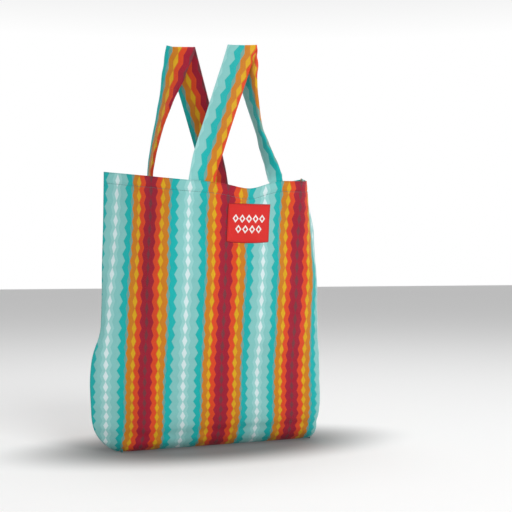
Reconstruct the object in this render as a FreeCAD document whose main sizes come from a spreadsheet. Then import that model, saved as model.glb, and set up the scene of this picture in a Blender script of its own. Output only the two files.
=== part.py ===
"""Foldable tote bag with its stuff pouch, drawcord and cord lock.

Frame: millimetres, +Z up, origin on the floor below the middle of the bag.
The front panel faces -Y and the bag is widest along X.
"""
import FreeCAD
import Part
import Sketcher
import math
import os

Vec = FreeCAD.Vector
UP = Vec(0, 0, 1)
ACROSS = Vec(1, 0, 0)

doc = FreeCAD.newDocument("tote_bag")
sheet = doc.addObject("Spreadsheet::Sheet", "sizes")

# ---------------------------------------------------------------- driving sizes
# Each level of the bag is a run of cloth from side seam to side seam. The run
# goes from the left seam to a soft left corner, straight across, round the
# right corner and back to the right seam.
LEVELS = ("floor", "belly_low", "belly_high", "rim")
LEVEL_MEASURES = ("height", "half_width", "centre", "half_depth",
                  "left_run", "right_run", "left_bend", "right_bend")
LEVEL_VALUES = {
    "floor": (0, 160, 0, 32, 6, 6, 16, 16),
    "belly_low": (45, 197, 0, 60, 72, 24, 35, 18),
    "belly_high": (110, 197, 0, 60, 72, 24, 35, 18),
    "rim": (430, 171, -6, 100, 76, 37, 45, 22),
}

SIZES = {
    # cloth, hem and seams
    "cloth": 0.8,
    "hem_drop": 0.15,
    "hem_width": 18,
    "hem_stitch_rise": 1.5,
    "seam_width": 8,
    "seam_thickness": 1.2,
    "bottom_seam_inset": 6,
    "bottom_seam_tall": 6,
    "corner_seam_set_in": 4,
    "corner_seam_inset": 13,
    "thread": 0.5,
    # straps
    "strap_width": 42,
    "strap_thickness": 1.6,
    "strap_half_spacing": 61.5,
    "hinge_rise": 8,
    "hinge_gap": 0.4,
    "hinge_set_back": 0.25,
    "foot_clearance": 0.1,
    "foot_stitch_inset": 3,
    "crest_width": 47,
    "crest_bend": 2.6,
    "crest_angle": 155,
    "plain_twist_rise": 80,
    "front_strap_centre": 13,
    "front_crest_across": 46,
    "front_crest_out": 30,
    "front_crest_height": 637,
    "front_twist_rise": 160,
    "front_twist_power": 1.0,
    "back_strap_centre": 7,
    "back_crest_across": 29,
    "back_crest_out": 50,
    "back_crest_height": 647,
    "back_twist_rise": 216,
    "back_twist_power": 0.8,
    # woven patch on the front
    "label_width": 71,
    "label_tall": 58,
    "label_thickness": 0.9,
    "label_across": 30,
    "label_height": 351,
    "label_corner": 2,
    "label_stitch_inset": 2,
    # stuff pouch, in its own frame with the fold of its tape at the origin
    "pouch_half_width": 43,
    "pouch_depth": 22,
    "pouch_base_depth": 4,
    "pouch_tall": 115,
    "pouch_cloth": 0.6,
    "pouch_drop": 20,
    "pouch_across": 10,
    "pouch_seam_width": 4,
    "pouch_seam_thickness": 1,
    "pouch_seam_gap": 0.15,
    "channel_wall": 3.4,
    "channel_tall": 10,
    "channel_skin": 0.35,
    "tape_width": 10,
    "tape_thickness": 1.0,
    "tape_stub": 20,
    "tether_height": 392,
    "tether_clearance": 0.8,
    "tether_gap": 1.2,
    "tether_stitch_tall": 5,
    "pouch_label_width": 50,
    "pouch_label_tall": 44,
    "pouch_label_drop": 86,
    # drawcord and cord lock
    "cord_diameter": 2.5,
    "strand_spacing": 2.6,
    "strand_swing_out": 4.8,
    "strand_swing_drop": 20,
    "strand_straight_drop": 64,
    "strand_end_out": 3.2,
    "strand_end_drop": 90,
    "knot_radius": 3.6,
    "lock_drop": 65,
    "barrel_radius": 5.2,
    "barrel_left": 11,
    "barrel_right": 10,
    "barrel_edge": 1.2,
    "button_edge": 0.6,
    "bore_radius": 3.6,
    "bore_floor": 1.5,
    "plunger_radius": 3.55,
    "plunger_tail": 5,
    "button_proud": 3.5,
    "press_travel": 2.5,
    "slot_half_width": 2.8,
    "slot_half_depth": 1.5,
    "spring_radius": 2.6,
    "spring_wire": 0.5,
    "spring_turns": 3.5,
}

row = 1


def add_size(name, value):
    """Put one driving size in the sheet, as plain text with an alias."""
    global row
    sheet.set(f"A{row}", name)
    sheet.set(f"B{row}", str(value))
    sheet.setAlias(f"B{row}", name)
    row += 1


for level_name in LEVELS:
    for measure, measure_value in zip(LEVEL_MEASURES, LEVEL_VALUES[level_name]):
        add_size(f"{level_name}_{measure}", measure_value)
for size_name, size_value in SIZES.items():
    add_size(size_name, size_value)
doc.recompute()


def size(name):
    """A driving size, read back from the sheet."""
    return float(sheet.get(name))


parts = []


def keep(label, shape, placement=None):
    """Make one sub-part from a ready shape, with its own label and place."""
    item = doc.addObject("Part::Feature", label)
    item.Label = label
    item.Shape = shape
    if placement is not None:
        item.Placement = placement.multiply(shape.Placement)
    parts.append(item)
    return item


def bound_box(label, lengths, corner, placement=None):
    """A Part::Box whose three lengths are expressions on the sheet."""
    box = doc.addObject("Part::Box", label)
    box.Label = label
    for side, expression in zip(("Length", "Width", "Height"), lengths):
        box.setExpression(side, expression)
    inner = FreeCAD.Placement(corner, FreeCAD.Rotation())
    box.Placement = placement.multiply(inner) if placement else inner
    parts.append(box)
    return box


def turned(degrees, axis, base=Vec(0, 0, 0)):
    """A placement that turns about an axis and then moves to base."""
    return FreeCAD.Placement(base, FreeCAD.Rotation(axis, degrees))


HALF_TURN = turned(180, UP)

# ------------------------------------------------------------- runs of cloth


def level_sizes(level, mirror):
    """The measures of one level; the back panel is the front turned about Z."""
    values = {name: size(f"{level}_{name}") for name in LEVEL_MEASURES}
    values["centre"] *= mirror
    return values


def run_corners(values, inset):
    """Left seam, two corners and right seam of a run, moved inwards by inset."""
    left = values["centre"] - values["half_width"]
    right = values["centre"] + values["half_width"]
    depth = values["half_depth"]
    points = [Vec(left, 0, 0), Vec(left + values["left_run"], -depth, 0),
              Vec(right - values["right_run"], -depth, 0), Vec(right, 0, 0)]
    lines = []
    for start, end in zip(points, points[1:]):
        along = (end - start).normalize()
        lines.append((start + Vec(-along.y, along.x, 0) * inset, along))
    front_edge = points[1].y + inset
    moved = [meet_height(lines[0], 0), meet_height(lines[0], front_edge),
             meet_height(lines[2], front_edge), meet_height(lines[2], 0)]
    return moved


def meet_height(line, y):
    """The point where a line, given by a point and a direction, reaches y."""
    point, along = line
    return point + along * ((y - point.y) / along.y)


def rounded_run(corners, bends, height):
    """Straight runs joined by tangent arcs, as a chain of edges at one height."""
    lift = UP * height
    chain = []
    start = corners[0]
    for before, corner, after, bend in zip(corners, corners[1:], corners[2:], bends):
        arriving = (corner - before).normalize()
        leaving = (after - corner).normalize()
        half_turn = arriving.getAngle(leaving) / 2
        reach = bend * math.tan(half_turn)
        arc_start = corner - arriving * reach
        arc_end = corner + leaving * reach
        inward = (leaving - arriving).normalize()
        arc_middle = corner + inward * (bend / math.cos(half_turn) - bend)
        chain.append(Part.LineSegment(start + lift, arc_start + lift).toShape())
        chain.append(Part.Arc(arc_start + lift, arc_middle + lift, arc_end + lift).toShape())
        start = arc_end
    chain.append(Part.LineSegment(start + lift, corners[-1] + lift).toShape())
    return chain


def cloth_section(values, outer, inner):
    """A closed strip between two insets of one level's run."""
    bends = (values["left_bend"], values["right_bend"])
    outside = run_corners(values, outer)
    inside = run_corners(values, inner)
    inside_bends = [bend - (inner - outer) for bend in reversed(bends)]
    lift = UP * values["height"]
    edges = rounded_run(outside, bends, values["height"])
    edges.append(Part.LineSegment(outside[-1] + lift, inside[-1] + lift).toShape())
    edges += rounded_run(inside[::-1], inside_bends, values["height"])
    edges.append(Part.LineSegment(inside[0] + lift, outside[0] + lift).toShape())
    return Part.Wire(edges)


def cloth_wall(levels, mirror, outer, inner):
    """The cloth between two insets, lofted from level to level."""
    wires = [cloth_section(level_sizes(level, mirror), outer, inner) for level in levels]
    return Part.makeLoft(wires, True, True)


def below_rim(top_drop, bottom_drop):
    """A slab that hangs below the rim, which drops towards the middle of the bag."""
    reach = size("rim_half_depth") + 20
    side = size("belly_low_half_width") + 50
    rim = size("rim_height")
    fall = size("hem_drop") * reach
    past_seam = 1
    corners = [Vec(-side, past_seam, rim - top_drop), Vec(-side, -reach, rim - fall - top_drop),
               Vec(-side, -reach, rim - fall - bottom_drop),
               Vec(-side, past_seam, rim - bottom_drop)]
    outline = Part.makePolygon(corners + corners[:1])
    return Part.Face(outline).extrude(ACROSS * (2 * side))


def panel_shape(mirror):
    """One panel: its wall, and its half of the base, which ends inside the wall."""
    cloth = size("cloth")
    floor = level_sizes("floor", mirror)
    inset = cloth / 2
    corners = run_corners(floor, inset)
    bends = (floor["left_bend"] - inset, floor["right_bend"] - inset)
    edges = rounded_run(corners, bends, 0)
    edges.append(Part.LineSegment(corners[-1], corners[0]).toShape())
    base = Part.Face(Part.Wire(edges)).extrude(UP * cloth)
    wall = cloth_wall(LEVELS, mirror, 0, cloth)
    shell = wall.fuse(base).removeSplitter()
    below_the_floor = size("rim_height") + size("hem_width")
    return shell.common(below_rim(0, below_the_floor))


def hem_shape(mirror):
    """The folded facing, inside the top of a panel."""
    cloth = size("cloth")
    wall = cloth_wall(LEVELS[2:], mirror, cloth, 2 * cloth)
    return wall.common(below_rim(0, size("hem_width")))


def hem_thread_shape(mirror):
    """The thread that shows outside, just above the facing's lower edge."""
    thread = size("thread")
    middle = size("hem_width") - size("hem_stitch_rise")
    wall = cloth_wall(LEVELS[2:], mirror, -thread / 2, 0)
    return wall.common(below_rim(middle - thread / 2, middle + thread / 2))


keep("front_panel", panel_shape(1))
keep("back_panel", panel_shape(-1), HALF_TURN)
keep("front_hem", hem_shape(1))
keep("back_hem", hem_shape(-1), HALF_TURN)
keep("front_hem_stitching", hem_thread_shape(1))
keep("back_hem_stitching", hem_thread_shape(-1), HALF_TURN)

# ---------------------------------------------------------------- inside seams


def seam_tip(level, mirror):
    """Where the two walls meet inside the side seam, at one level."""
    return run_corners(level_sizes(level, mirror), size("cloth"))[0].x


def side_seam_shape(mirror):
    """The left seam allowance, standing inwards from where the walls meet."""
    width = size("seam_width")
    thickness = size("seam_thickness")
    foot_height = size("seam_width") + 2
    low = size("belly_low_height")
    share = foot_height / low
    foot = seam_tip("floor", mirror) * (1 - share) + seam_tip("belly_low", mirror) * share
    rim_end = size("rim_height") - size("hem_width") - 1
    high = size("belly_high_height")
    share = (rim_end - high) / (size("rim_height") - high)
    top = seam_tip("belly_high", mirror) * (1 - share) + seam_tip("rim", mirror) * share
    edge = [Vec(foot, 0, foot_height), Vec(seam_tip("belly_low", mirror), 0, low),
            Vec(seam_tip("belly_high", mirror), 0, high), Vec(top, 0, rim_end)]
    outline = edge + [point + ACROSS * width for point in reversed(edge)] + edge[:1]
    strip = Part.Face(Part.makePolygon(outline)).extrude(Vec(0, thickness, 0))
    strip.translate(Vec(thickness / 2, -thickness / 2, 0))
    return strip


keep("left_side_seam", side_seam_shape(1))
keep("right_side_seam", side_seam_shape(-1), HALF_TURN)

floor_cloth = Vec(0, 0, size("cloth"))
seam_half = Vec(0, size("seam_thickness") / 2, 0)
corner_seam_x = size("floor_half_width") - size("corner_seam_set_in")
corner_seam_half = size("floor_half_depth") - size("corner_seam_inset")
bound_box("bottom_seam",
          ("2 * (sizes.floor_half_width - sizes.bottom_seam_inset)", "sizes.seam_thickness",
           "sizes.bottom_seam_tall"),
          floor_cloth - seam_half
          - ACROSS * (size("floor_half_width") - size("bottom_seam_inset")))
for seam_side, seam_x in (("left", -corner_seam_x), ("right", corner_seam_x)):
    bound_box(f"{seam_side}_corner_seam",
              ("sizes.seam_thickness",
               "2 * (sizes.floor_half_depth - sizes.corner_seam_inset)",
               "sizes.bottom_seam_tall"),
              floor_cloth + Vec(seam_x - size("seam_thickness") / 2, -corner_seam_half, 0))

# ---------------------------------------------------------------------- straps
panel_lean = math.degrees(math.atan(
    (size("rim_half_depth") - size("belly_high_half_depth"))
    / (size("rim_height") - size("belly_high_height"))))


def panel_y(height):
    """The outside of the front panel's flat middle, at a height."""
    return -size("rim_half_depth") + (size("rim_height") - height) * math.tan(
        math.radians(panel_lean))


def through_panel(across, height, depth):
    """A placement on the front panel: x across, y into the bag, z up the cloth."""
    lean = FreeCAD.Rotation(ACROSS, panel_lean)
    base = Vec(across, panel_y(height), height)
    return FreeCAD.Placement(base + lean.multVec(Vec(0, depth, 0)), lean)


hem_top = size("rim_height") - size("hem_drop") * size("rim_half_depth")
hinge_height = hem_top + size("hinge_rise")
under_hem = 2 * size("cloth") + size("foot_clearance")
strap_outside = panel_y(hinge_height) + under_hem / math.cos(math.radians(panel_lean))
hinge_y = strap_outside - size("hinge_set_back")
print("strap hinge line: y", round(hinge_y, 3), "z", round(hinge_height, 3))


def strap_slice(centre, angle, width):
    """A level slice through a strap, its width along angle."""
    along = Vec(math.cos(math.radians(angle)), math.sin(math.radians(angle)), 0)
    through = Vec(-along.y, along.x, 0) * (size("strap_thickness") / 2)
    half = along * (width / 2)
    corners = [centre - half - through, centre + half - through,
               centre + half + through, centre - half + through]
    return Part.makePolygon(corners + corners[:1])


def limb_shape(foot, top, foot_angle, twist_rise, power):
    """One limb of a strap, which turns from its foot's angle to the crest's."""
    steps = 12
    turn_in_all = size("crest_angle") - foot_angle
    rise = top.z - foot.z
    heights = [twist_rise * (step / steps) ** (1 / power) for step in range(steps + 1)]
    if twist_rise < rise:
        heights.append(rise)
    slices = []
    for height in heights:
        share = min(height / rise, 1)
        turn = min(height / twist_rise, 1) ** power
        angle = foot_angle + turn_in_all * turn
        width = size("strap_width") * (1 - share) + size("crest_width") * share
        slices.append(strap_slice(foot + (top - foot) * share, angle, width))
    return Part.makeLoft(slices, True, True)


def crest_shape(crest):
    """The tight fold at the top of a strap."""
    across = math.radians(size("crest_angle"))
    along = Vec(math.cos(across), math.sin(across), 0)
    out = Vec(along.y, -along.x, 0)
    if out.y > 0:
        out = out * -1
    outer = size("crest_bend") + size("strap_thickness") / 2
    inner = size("crest_bend") - size("strap_thickness") / 2
    start = crest - along * (size("crest_width") / 2)
    edges = [
        Part.Arc(start + out * outer, start + UP * outer, start - out * outer).toShape(),
        Part.LineSegment(start - out * outer, start - out * inner).toShape(),
        Part.Arc(start - out * inner, start + UP * inner, start + out * inner).toShape(),
        Part.LineSegment(start + out * inner, start + out * outer).toShape(),
    ]
    fold = Part.Face(Part.Wire(edges)).extrude(along * size("crest_width"))
    return fold, out * size("crest_bend")


def strap_shape(side):
    """A strap: a plain left limb, the crest fold and a twisted right limb."""
    foot_middle = Vec(size(f"{side}_strap_centre"),
                      strap_outside + size("strap_thickness") / 2,
                      hinge_height + size("hinge_gap"))
    spread = ACROSS * size("strap_half_spacing")
    fold_outer = size("crest_bend") + size("strap_thickness") / 2
    crest = Vec(size(f"{side}_crest_across"), -size(f"{side}_crest_out"),
                size(f"{side}_crest_height") - fold_outer)
    fold, to_front = crest_shape(crest)
    plain = limb_shape(foot_middle - spread, crest + to_front, 180,
                       size("plain_twist_rise"), 1)
    twisted = limb_shape(foot_middle + spread, crest - to_front, 0,
                         size(f"{side}_twist_rise"), size(f"{side}_twist_power"))
    return plain.fuse([fold, twisted])


keep("front_strap", strap_shape("front"))
keep("back_strap", strap_shape("back"), HALF_TURN)

foot_length = size("hem_width") + size("hinge_rise") - size("hinge_gap")


def foot_placement(side, sign):
    """The frame of one strap foot: its top edge, just below the hinge line."""
    across = size(f"{side}_strap_centre") + sign * size("strap_half_spacing")
    place = through_panel(across, hinge_height - size("hinge_gap"), under_hem)
    return HALF_TURN.multiply(place) if side == "back" else place


def thread_box(width, tall, thickness):
    """A line of thread round a rectangle, standing in the XZ plane."""
    thread = size("thread")
    outer = Part.makeBox(width, thickness, tall, Vec(-width / 2, 0, -tall))
    inner = Part.makeBox(width - 2 * thread, thickness, tall - 2 * thread,
                         Vec(-width / 2 + thread, 0, -tall + thread))
    return outer.cut(inner)


# Turned half round with its panel, the back strap's left foot is the one at +X.
FEET = {"front": (("left", -1), ("right", 1)), "back": (("left", 1), ("right", -1))}
for strap_side, feet in FEET.items():
    boxes = []
    for foot_name, sign in feet:
        place = foot_placement(strap_side, sign)
        bound_box(f"{strap_side}_{foot_name}_strap_foot",
                  ("sizes.strap_width", "sizes.strap_thickness",
                   "sizes.hem_width + sizes.hinge_rise - sizes.hinge_gap"),
                  Vec(-size("strap_width") / 2, 0, -foot_length), place)
        inset = size("foot_stitch_inset")
        stitch = thread_box(size("strap_width") - 2 * inset, size("hem_width") - 5,
                            size("thread") / 2)
        stitch.translate(Vec(0, size("strap_thickness"), -size("hinge_rise") - inset))
        stitch.transformShape(place.toMatrix(), True)
        boxes.append(stitch)
    keep(f"{strap_side}_strap_stitching", Part.makeCompound(boxes))

# ------------------------------------------------------------------ front label


def flat_body(label, width_name, tall_name):
    """A rounded flat patch, padded out of a sketch in the XZ plane."""
    body = doc.addObject("PartDesign::Body", label)
    body.Label = label
    sketch = body.newObject("Sketcher::SketchObject", f"{label}_outline")
    plane = next(item for item in body.Origin.OriginFeatures if item.Role == "XZ_Plane")
    sketch.AttachmentSupport = [(plane, "")]
    sketch.MapMode = "FlatFace"
    half_width = size(width_name) / 2
    half_tall = size(tall_name) / 2
    points = [Vec(-half_width, -half_tall, 0), Vec(half_width, -half_tall, 0),
              Vec(half_width, half_tall, 0), Vec(-half_width, half_tall, 0)]
    for start, end in zip(points, points[1:] + points[:1]):
        sketch.addGeometry(Part.LineSegment(start, end), False)
    for line in range(4):
        sketch.addConstraint(Sketcher.Constraint("Coincident", line, 2, (line + 1) % 4, 1))
    for line, direction in enumerate(("Horizontal", "Vertical", "Horizontal", "Vertical")):
        sketch.addConstraint(Sketcher.Constraint(direction, line))
    sketch.addConstraint(Sketcher.Constraint("Symmetric", 0, 1, 2, 1, -1, 1))
    wide = sketch.addConstraint(Sketcher.Constraint("DistanceX", 0, 1, 0, 2, 2 * half_width))
    tall = sketch.addConstraint(Sketcher.Constraint("DistanceY", 1, 1, 1, 2, 2 * half_tall))
    sketch.setExpression(f"Constraints[{wide}]", f"sizes.{width_name}")
    sketch.setExpression(f"Constraints[{tall}]", f"sizes.{tall_name}")
    pad = body.newObject("PartDesign::Pad", f"{label}_pad")
    pad.Profile = sketch
    pad.setExpression("Length", "sizes.label_thickness")
    doc.recompute()
    upright = [f"Edge{number + 1}" for number, edge in enumerate(pad.Shape.Edges)
               if edge.Length < size("label_thickness") * 1.01]
    fillet = body.newObject("PartDesign::Fillet", f"{label}_corners")
    fillet.Base = (pad, upright)
    fillet.setExpression("Radius", "sizes.label_corner")
    doc.recompute()
    parts.append(body)
    return body


label_thread = size("thread") / 2
label = flat_body("front_label", "label_width", "label_tall")
label_place = through_panel(size("label_across"), size("label_height"), 0)
label.Placement = label_place


def label_thread_shape(width, tall):
    """Thread round a patch, raised from its front face."""
    inset = size("label_stitch_inset")
    frame = thread_box(width - 2 * inset, tall - 2 * inset, label_thread)
    frame.translate(Vec(0, -size("label_thickness") - label_thread, tall / 2 - inset))
    return frame


keep("front_label_stitching",
     label_thread_shape(size("label_width"), size("label_tall")), label_place)

# ----------------------------------------------------------------- stuff pouch
# The pouch is built in its own frame, with the fold of its tape at the origin.
# It then leans back on the back panel and hangs inside the bag.
pouch_middle = -(size("tape_thickness") / 2 + size("channel_wall") + size("pouch_depth") / 2)
mouth_z = -size("pouch_drop")


def pouch_level(drop, depth):
    """The measures of one level of the pouch, in the form the bag's levels use."""
    end_run = 0.02
    bend = depth / 2 - 0.05
    return {"height": mouth_z - drop, "half_width": size("pouch_half_width"), "centre": 0,
            "half_depth": depth / 2, "left_run": end_run, "right_run": end_run,
            "left_bend": bend, "right_bend": bend}


def pouch_wall():
    """Half of the pouch, open at the top and narrow at the bottom."""
    cloth = size("pouch_cloth")
    tall = size("pouch_tall")
    mouth = pouch_level(0, size("pouch_depth"))
    base = pouch_level(tall, size("pouch_base_depth"))
    wires = [cloth_section(level, 0, cloth) for level in (base, mouth)]
    wall = Part.makeLoft(wires, True, True)
    half = size("pouch_half_width") - 1.5
    lip = Part.makeBox(2 * half, size("pouch_base_depth") / 2, cloth,
                       Vec(-half, -size("pouch_base_depth") / 2, mouth_z - tall))
    return wall.fuse(lip)


def stadium(offset, low, high):
    """A solid stadium, the mouth's outline moved out by offset."""
    radius = size("pouch_depth") / 2 + offset
    straight = size("pouch_half_width") - size("pouch_depth") / 2
    middle = Part.makeBox(2 * straight, 2 * radius, high - low, Vec(-straight, -radius, low))
    ends = [Part.makeCylinder(radius, high - low, Vec(side * straight, 0, low))
            for side in (-1, 1)]
    return middle.fuse(ends)


def channel_shape():
    """The casing sewn round the mouth, hollow for the drawcord."""
    wall = size("channel_wall")
    low = mouth_z - size("channel_tall")
    skin = size("channel_skin")
    ring = stadium(wall, low, mouth_z).cut(stadium(0, low, mouth_z))
    hollow = stadium(wall - skin, low + skin, mouth_z - skin).cut(
        stadium(skin, low + skin, mouth_z - skin))
    exit_clearance = 0.6
    exit_half = (size("strand_spacing") + size("cord_diameter")) / 2 + exit_clearance
    front = -size("pouch_depth") / 2 - wall
    exit_hole = Part.makeBox(2 * exit_half, wall - 2 * skin, 2,
                             Vec(-exit_half, front + skin, low - 1))
    return ring.cut(hollow).cut(exit_hole)


def cord_ring_shape():
    """The drawcord inside the casing, from one side of its exit to the other."""
    radius = size("pouch_depth") / 2 + size("channel_wall") / 2
    straight = size("pouch_half_width") - size("pouch_depth") / 2
    height = mouth_z - size("channel_tall") / 2
    gap = size("strand_spacing") / 2

    def at(x, y):
        return Vec(x, y, height)

    edges = [
        Part.LineSegment(at(gap, -radius), at(straight, -radius)).toShape(),
        Part.Arc(at(straight, -radius), at(straight + radius, 0), at(straight, radius)).toShape(),
        Part.LineSegment(at(straight, radius), at(-straight, radius)).toShape(),
        Part.Arc(at(-straight, radius), at(-straight - radius, 0),
                 at(-straight, -radius)).toShape(),
        Part.LineSegment(at(-straight, -radius), at(-gap, -radius)).toShape(),
    ]
    section = Part.Wire(Part.makeCircle(size("cord_diameter") / 2, at(gap, -radius), ACROSS))
    return Part.Wire(edges).makePipeShell([section], True, True)


def strand_route(sign):
    """Points of one hanging strand: out of the casing, down and to the knot."""
    across = sign * size("strand_spacing") / 2
    exit_y = pouch_middle - size("pouch_depth") / 2 - size("channel_wall") / 2
    exit_z = mouth_z - size("channel_tall") + 0.5
    front_y = exit_y - size("strand_swing_out")
    return [Vec(across, exit_y, exit_z),
            Vec(across, front_y, exit_z - size("strand_swing_drop")),
            Vec(across, front_y, exit_z - size("strand_straight_drop")),
            Vec(across, exit_y - size("strand_end_out"), exit_z - size("strand_end_drop"))]


def tube_along(points, diameter):
    """A round tube on straight runs joined by tangent arcs, and its tightest radius."""
    bend_share = 0.45
    edges = []
    start = points[0]
    radii = []
    for before, corner, after in zip(points, points[1:], points[2:]):
        arriving = (corner - before).normalize()
        leaving = (after - corner).normalize()
        half_turn = arriving.getAngle(leaving) / 2
        reach = bend_share * min((corner - before).Length, (after - corner).Length)
        radius = reach / math.tan(half_turn)
        inward = (leaving - arriving).normalize()
        middle = corner + inward * (radius / math.cos(half_turn) - radius)
        edges.append(Part.LineSegment(start, corner - arriving * reach).toShape())
        edges.append(Part.Arc(corner - arriving * reach, middle,
                              corner + leaving * reach).toShape())
        start = corner + leaving * reach
        radii.append(radius)
    edges.append(Part.LineSegment(start, points[-1]).toShape())
    path = Part.Wire(edges)
    section = Part.Wire(Part.makeCircle(diameter / 2, points[0], points[1] - points[0]))
    tube = path.makePipeShell([section], True, True)
    expected = math.pi * diameter ** 2 / 4 * path.Length
    print("strand: length", round(path.Length, 1), "radii", [round(r, 1) for r in radii],
          "volume", round(tube.Volume, 1), "of", round(expected, 1))
    return tube


hang_y = -size("rim_half_depth") + (size("rim_height") - size("tether_height")) * math.tan(
    math.radians(panel_lean))
tape_gap = (size("cloth") + size("tether_gap") + size("tape_thickness") / 2) / math.cos(
    math.radians(panel_lean))
pouch_place = turned(-panel_lean, ACROSS,
                     Vec(size("pouch_across"), -hang_y - tape_gap, size("tether_height")))
print("tether fold:", [round(value, 3) for value in pouch_place.Base])


def in_pouch(offset):
    """The pouch's frame, moved by an offset of its own."""
    return pouch_place.multiply(FreeCAD.Placement(offset, FreeCAD.Rotation()))


pouch_centre = in_pouch(Vec(0, pouch_middle, 0))
keep("pouch_front", pouch_wall(), pouch_centre)
keep("pouch_back", pouch_wall(), pouch_centre.multiply(HALF_TURN))
keep("pouch_channel", channel_shape(), pouch_centre)
keep("drawcord_loop", cord_ring_shape(), pouch_centre)


def pouch_seam_shape():
    """The bound seam outside the pouch: down one side, across and up the other."""
    half = size("pouch_half_width")
    under_channel = 0.3
    top = mouth_z - size("channel_tall") - under_channel
    bottom = mouth_z - size("pouch_tall")
    width = size("pouch_seam_width")
    gap = size("pouch_seam_gap")
    thickness = size("pouch_seam_thickness")
    outer = [Vec(-half - width, 0, top), Vec(-half - width, 0, bottom - width),
             Vec(half + width, 0, bottom - width), Vec(half + width, 0, top)]
    inner = [Vec(half + gap, 0, top), Vec(half + gap, 0, bottom - gap),
             Vec(-half - gap, 0, bottom - gap), Vec(-half - gap, 0, top)]
    strip = Part.Face(Part.makePolygon(outer + inner + outer[:1])).extrude(
        Vec(0, thickness, 0))
    strip.translate(Vec(0, -thickness / 2, 0))
    return strip


keep("pouch_seam", pouch_seam_shape(), pouch_centre)

tape_reach = size("pouch_drop") + size("channel_tall")
half_tape = Vec(size("tape_width") / 2, size("tape_thickness") / 2, 0)
bound_box("pouch_tether", ("sizes.tape_width", "sizes.tape_thickness",
                           "sizes.pouch_drop + sizes.channel_tall - sizes.tether_clearance"),
          half_tape * -1 - UP * tape_reach, pouch_place)
bound_box("tether_stub", ("sizes.tape_width", "sizes.tape_thickness", "sizes.tape_stub"),
          half_tape * -1 + UP * size("tether_clearance"), pouch_place)
tether_thread = thread_box(size("tape_width") - 2, size("tether_stitch_tall"),
                           size("thread") / 2)
tether_thread.translate(Vec(0, -size("tape_thickness") / 2 - size("thread") / 2,
                            size("tape_stub") - 1))
keep("tether_stitching", tether_thread, pouch_place)

front_lean = math.degrees(math.atan(
    (size("pouch_depth") - size("pouch_base_depth")) / 2 / size("pouch_tall")))
label_drop = size("pouch_label_drop")
label_y = pouch_middle - size("pouch_depth") / 2 + (label_drop - size("pouch_drop")) * math.tan(
    math.radians(front_lean))
pouch_label_place = in_pouch(Vec(0, label_y, -label_drop)).multiply(
    turned(front_lean, ACROSS))
pouch_label = flat_body("pouch_label", "pouch_label_width", "pouch_label_tall")
pouch_label.Placement = pouch_label_place
keep("pouch_label_stitching",
     label_thread_shape(size("pouch_label_width"), size("pouch_label_tall")),
     pouch_label_place)

# -------------------------------------------------------- drawcord and its lock
for strand_side, sign in (("left", -1), ("right", 1)):
    keep(f"drawcord_{strand_side}_strand",
         tube_along(strand_route(sign), size("cord_diameter")), pouch_place)
strand_end = strand_route(0)[-1]
knot = Part.makeSphere(size("knot_radius"), strand_end - UP * size("knot_radius"))
keep("drawcord_knot", knot, pouch_place)

strand_y = strand_route(0)[1].y
lock_place = in_pouch(Vec(0, strand_y, -size("lock_drop")))


def turned_body(label, radius_name, left, length, edge_name):
    """A round body along X, padded from a circle, with its free edges rounded."""
    body = doc.addObject("PartDesign::Body", label)
    body.Label = label
    sketch = body.newObject("Sketcher::SketchObject", f"{label}_circle")
    plane = next(item for item in body.Origin.OriginFeatures if item.Role == "YZ_Plane")
    sketch.AttachmentSupport = [(plane, "")]
    sketch.MapMode = "FlatFace"
    sketch.AttachmentOffset = FreeCAD.Placement(UP * left, FreeCAD.Rotation())
    sketch.addGeometry(Part.Circle(Vec(0, 0, 0), UP, size(radius_name)), False)
    sketch.addConstraint(Sketcher.Constraint("Coincident", 0, 3, -1, 1))
    radius = sketch.addConstraint(Sketcher.Constraint("Radius", 0, size(radius_name)))
    sketch.setExpression(f"Constraints[{radius}]", f"sizes.{radius_name}")
    pad = body.newObject("PartDesign::Pad", f"{label}_pad")
    pad.Profile = sketch
    pad.setExpression("Length", length)
    doc.recompute()
    fillet = body.newObject("PartDesign::Fillet", f"{label}_edges")
    fillet.Base = (pad, [f"Edge{number + 1}" for number, item in enumerate(pad.Shape.Edges)
                         if item.isClosed()])
    fillet.setExpression("Radius", f"sizes.{edge_name}")
    doc.recompute()
    return body


def pocket(body, label, plane_role, geometry, offset, through, length=None):
    """Cut a sketched outline into a body and make sure that it took something away."""
    before = body.Shape.Volume
    sketch = body.newObject("Sketcher::SketchObject", f"{label}_outline")
    plane = next(item for item in body.Origin.OriginFeatures if item.Role == plane_role)
    sketch.AttachmentSupport = [(plane, "")]
    sketch.MapMode = "FlatFace"
    sketch.AttachmentOffset = FreeCAD.Placement(UP * offset, FreeCAD.Rotation())
    for curve in geometry:
        sketch.addGeometry(curve, False)
    cut = body.newObject("PartDesign::Pocket", label)
    cut.Profile = sketch
    if through:
        cut.Type = "ThroughAll"
        cut.Midplane = True
    else:
        cut.setExpression("Length", length)
    doc.recompute()
    if not body.Shape.Volume < before - 1:
        raise RuntimeError(f"{label} cut nothing")


def slot_outline(low, high):
    """The rectangle of a cord slot, in a body's XY plane."""
    half = size("slot_half_depth")
    points = [Vec(low, -half, 0), Vec(high, -half, 0), Vec(high, half, 0), Vec(low, half, 0)]
    return [Part.LineSegment(start, end)
            for start, end in zip(points, points[1:] + points[:1])]


barrel = turned_body("cord_lock_barrel", "barrel_radius", -size("barrel_left"),
                     "sizes.barrel_left + sizes.barrel_right", "barrel_edge")
bore = Part.Circle(Vec(0, 0, 0), UP, size("bore_radius"))
pocket(barrel, "barrel_bore", "YZ_Plane", [bore], size("barrel_right"), False,
       "sizes.barrel_left + sizes.barrel_right - sizes.bore_floor")
slot_half = size("slot_half_width")
pocket(barrel, "barrel_slot", "XY_Plane", slot_outline(-slot_half, slot_half), 0, True)
barrel.Placement = lock_place
parts.append(barrel)

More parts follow.
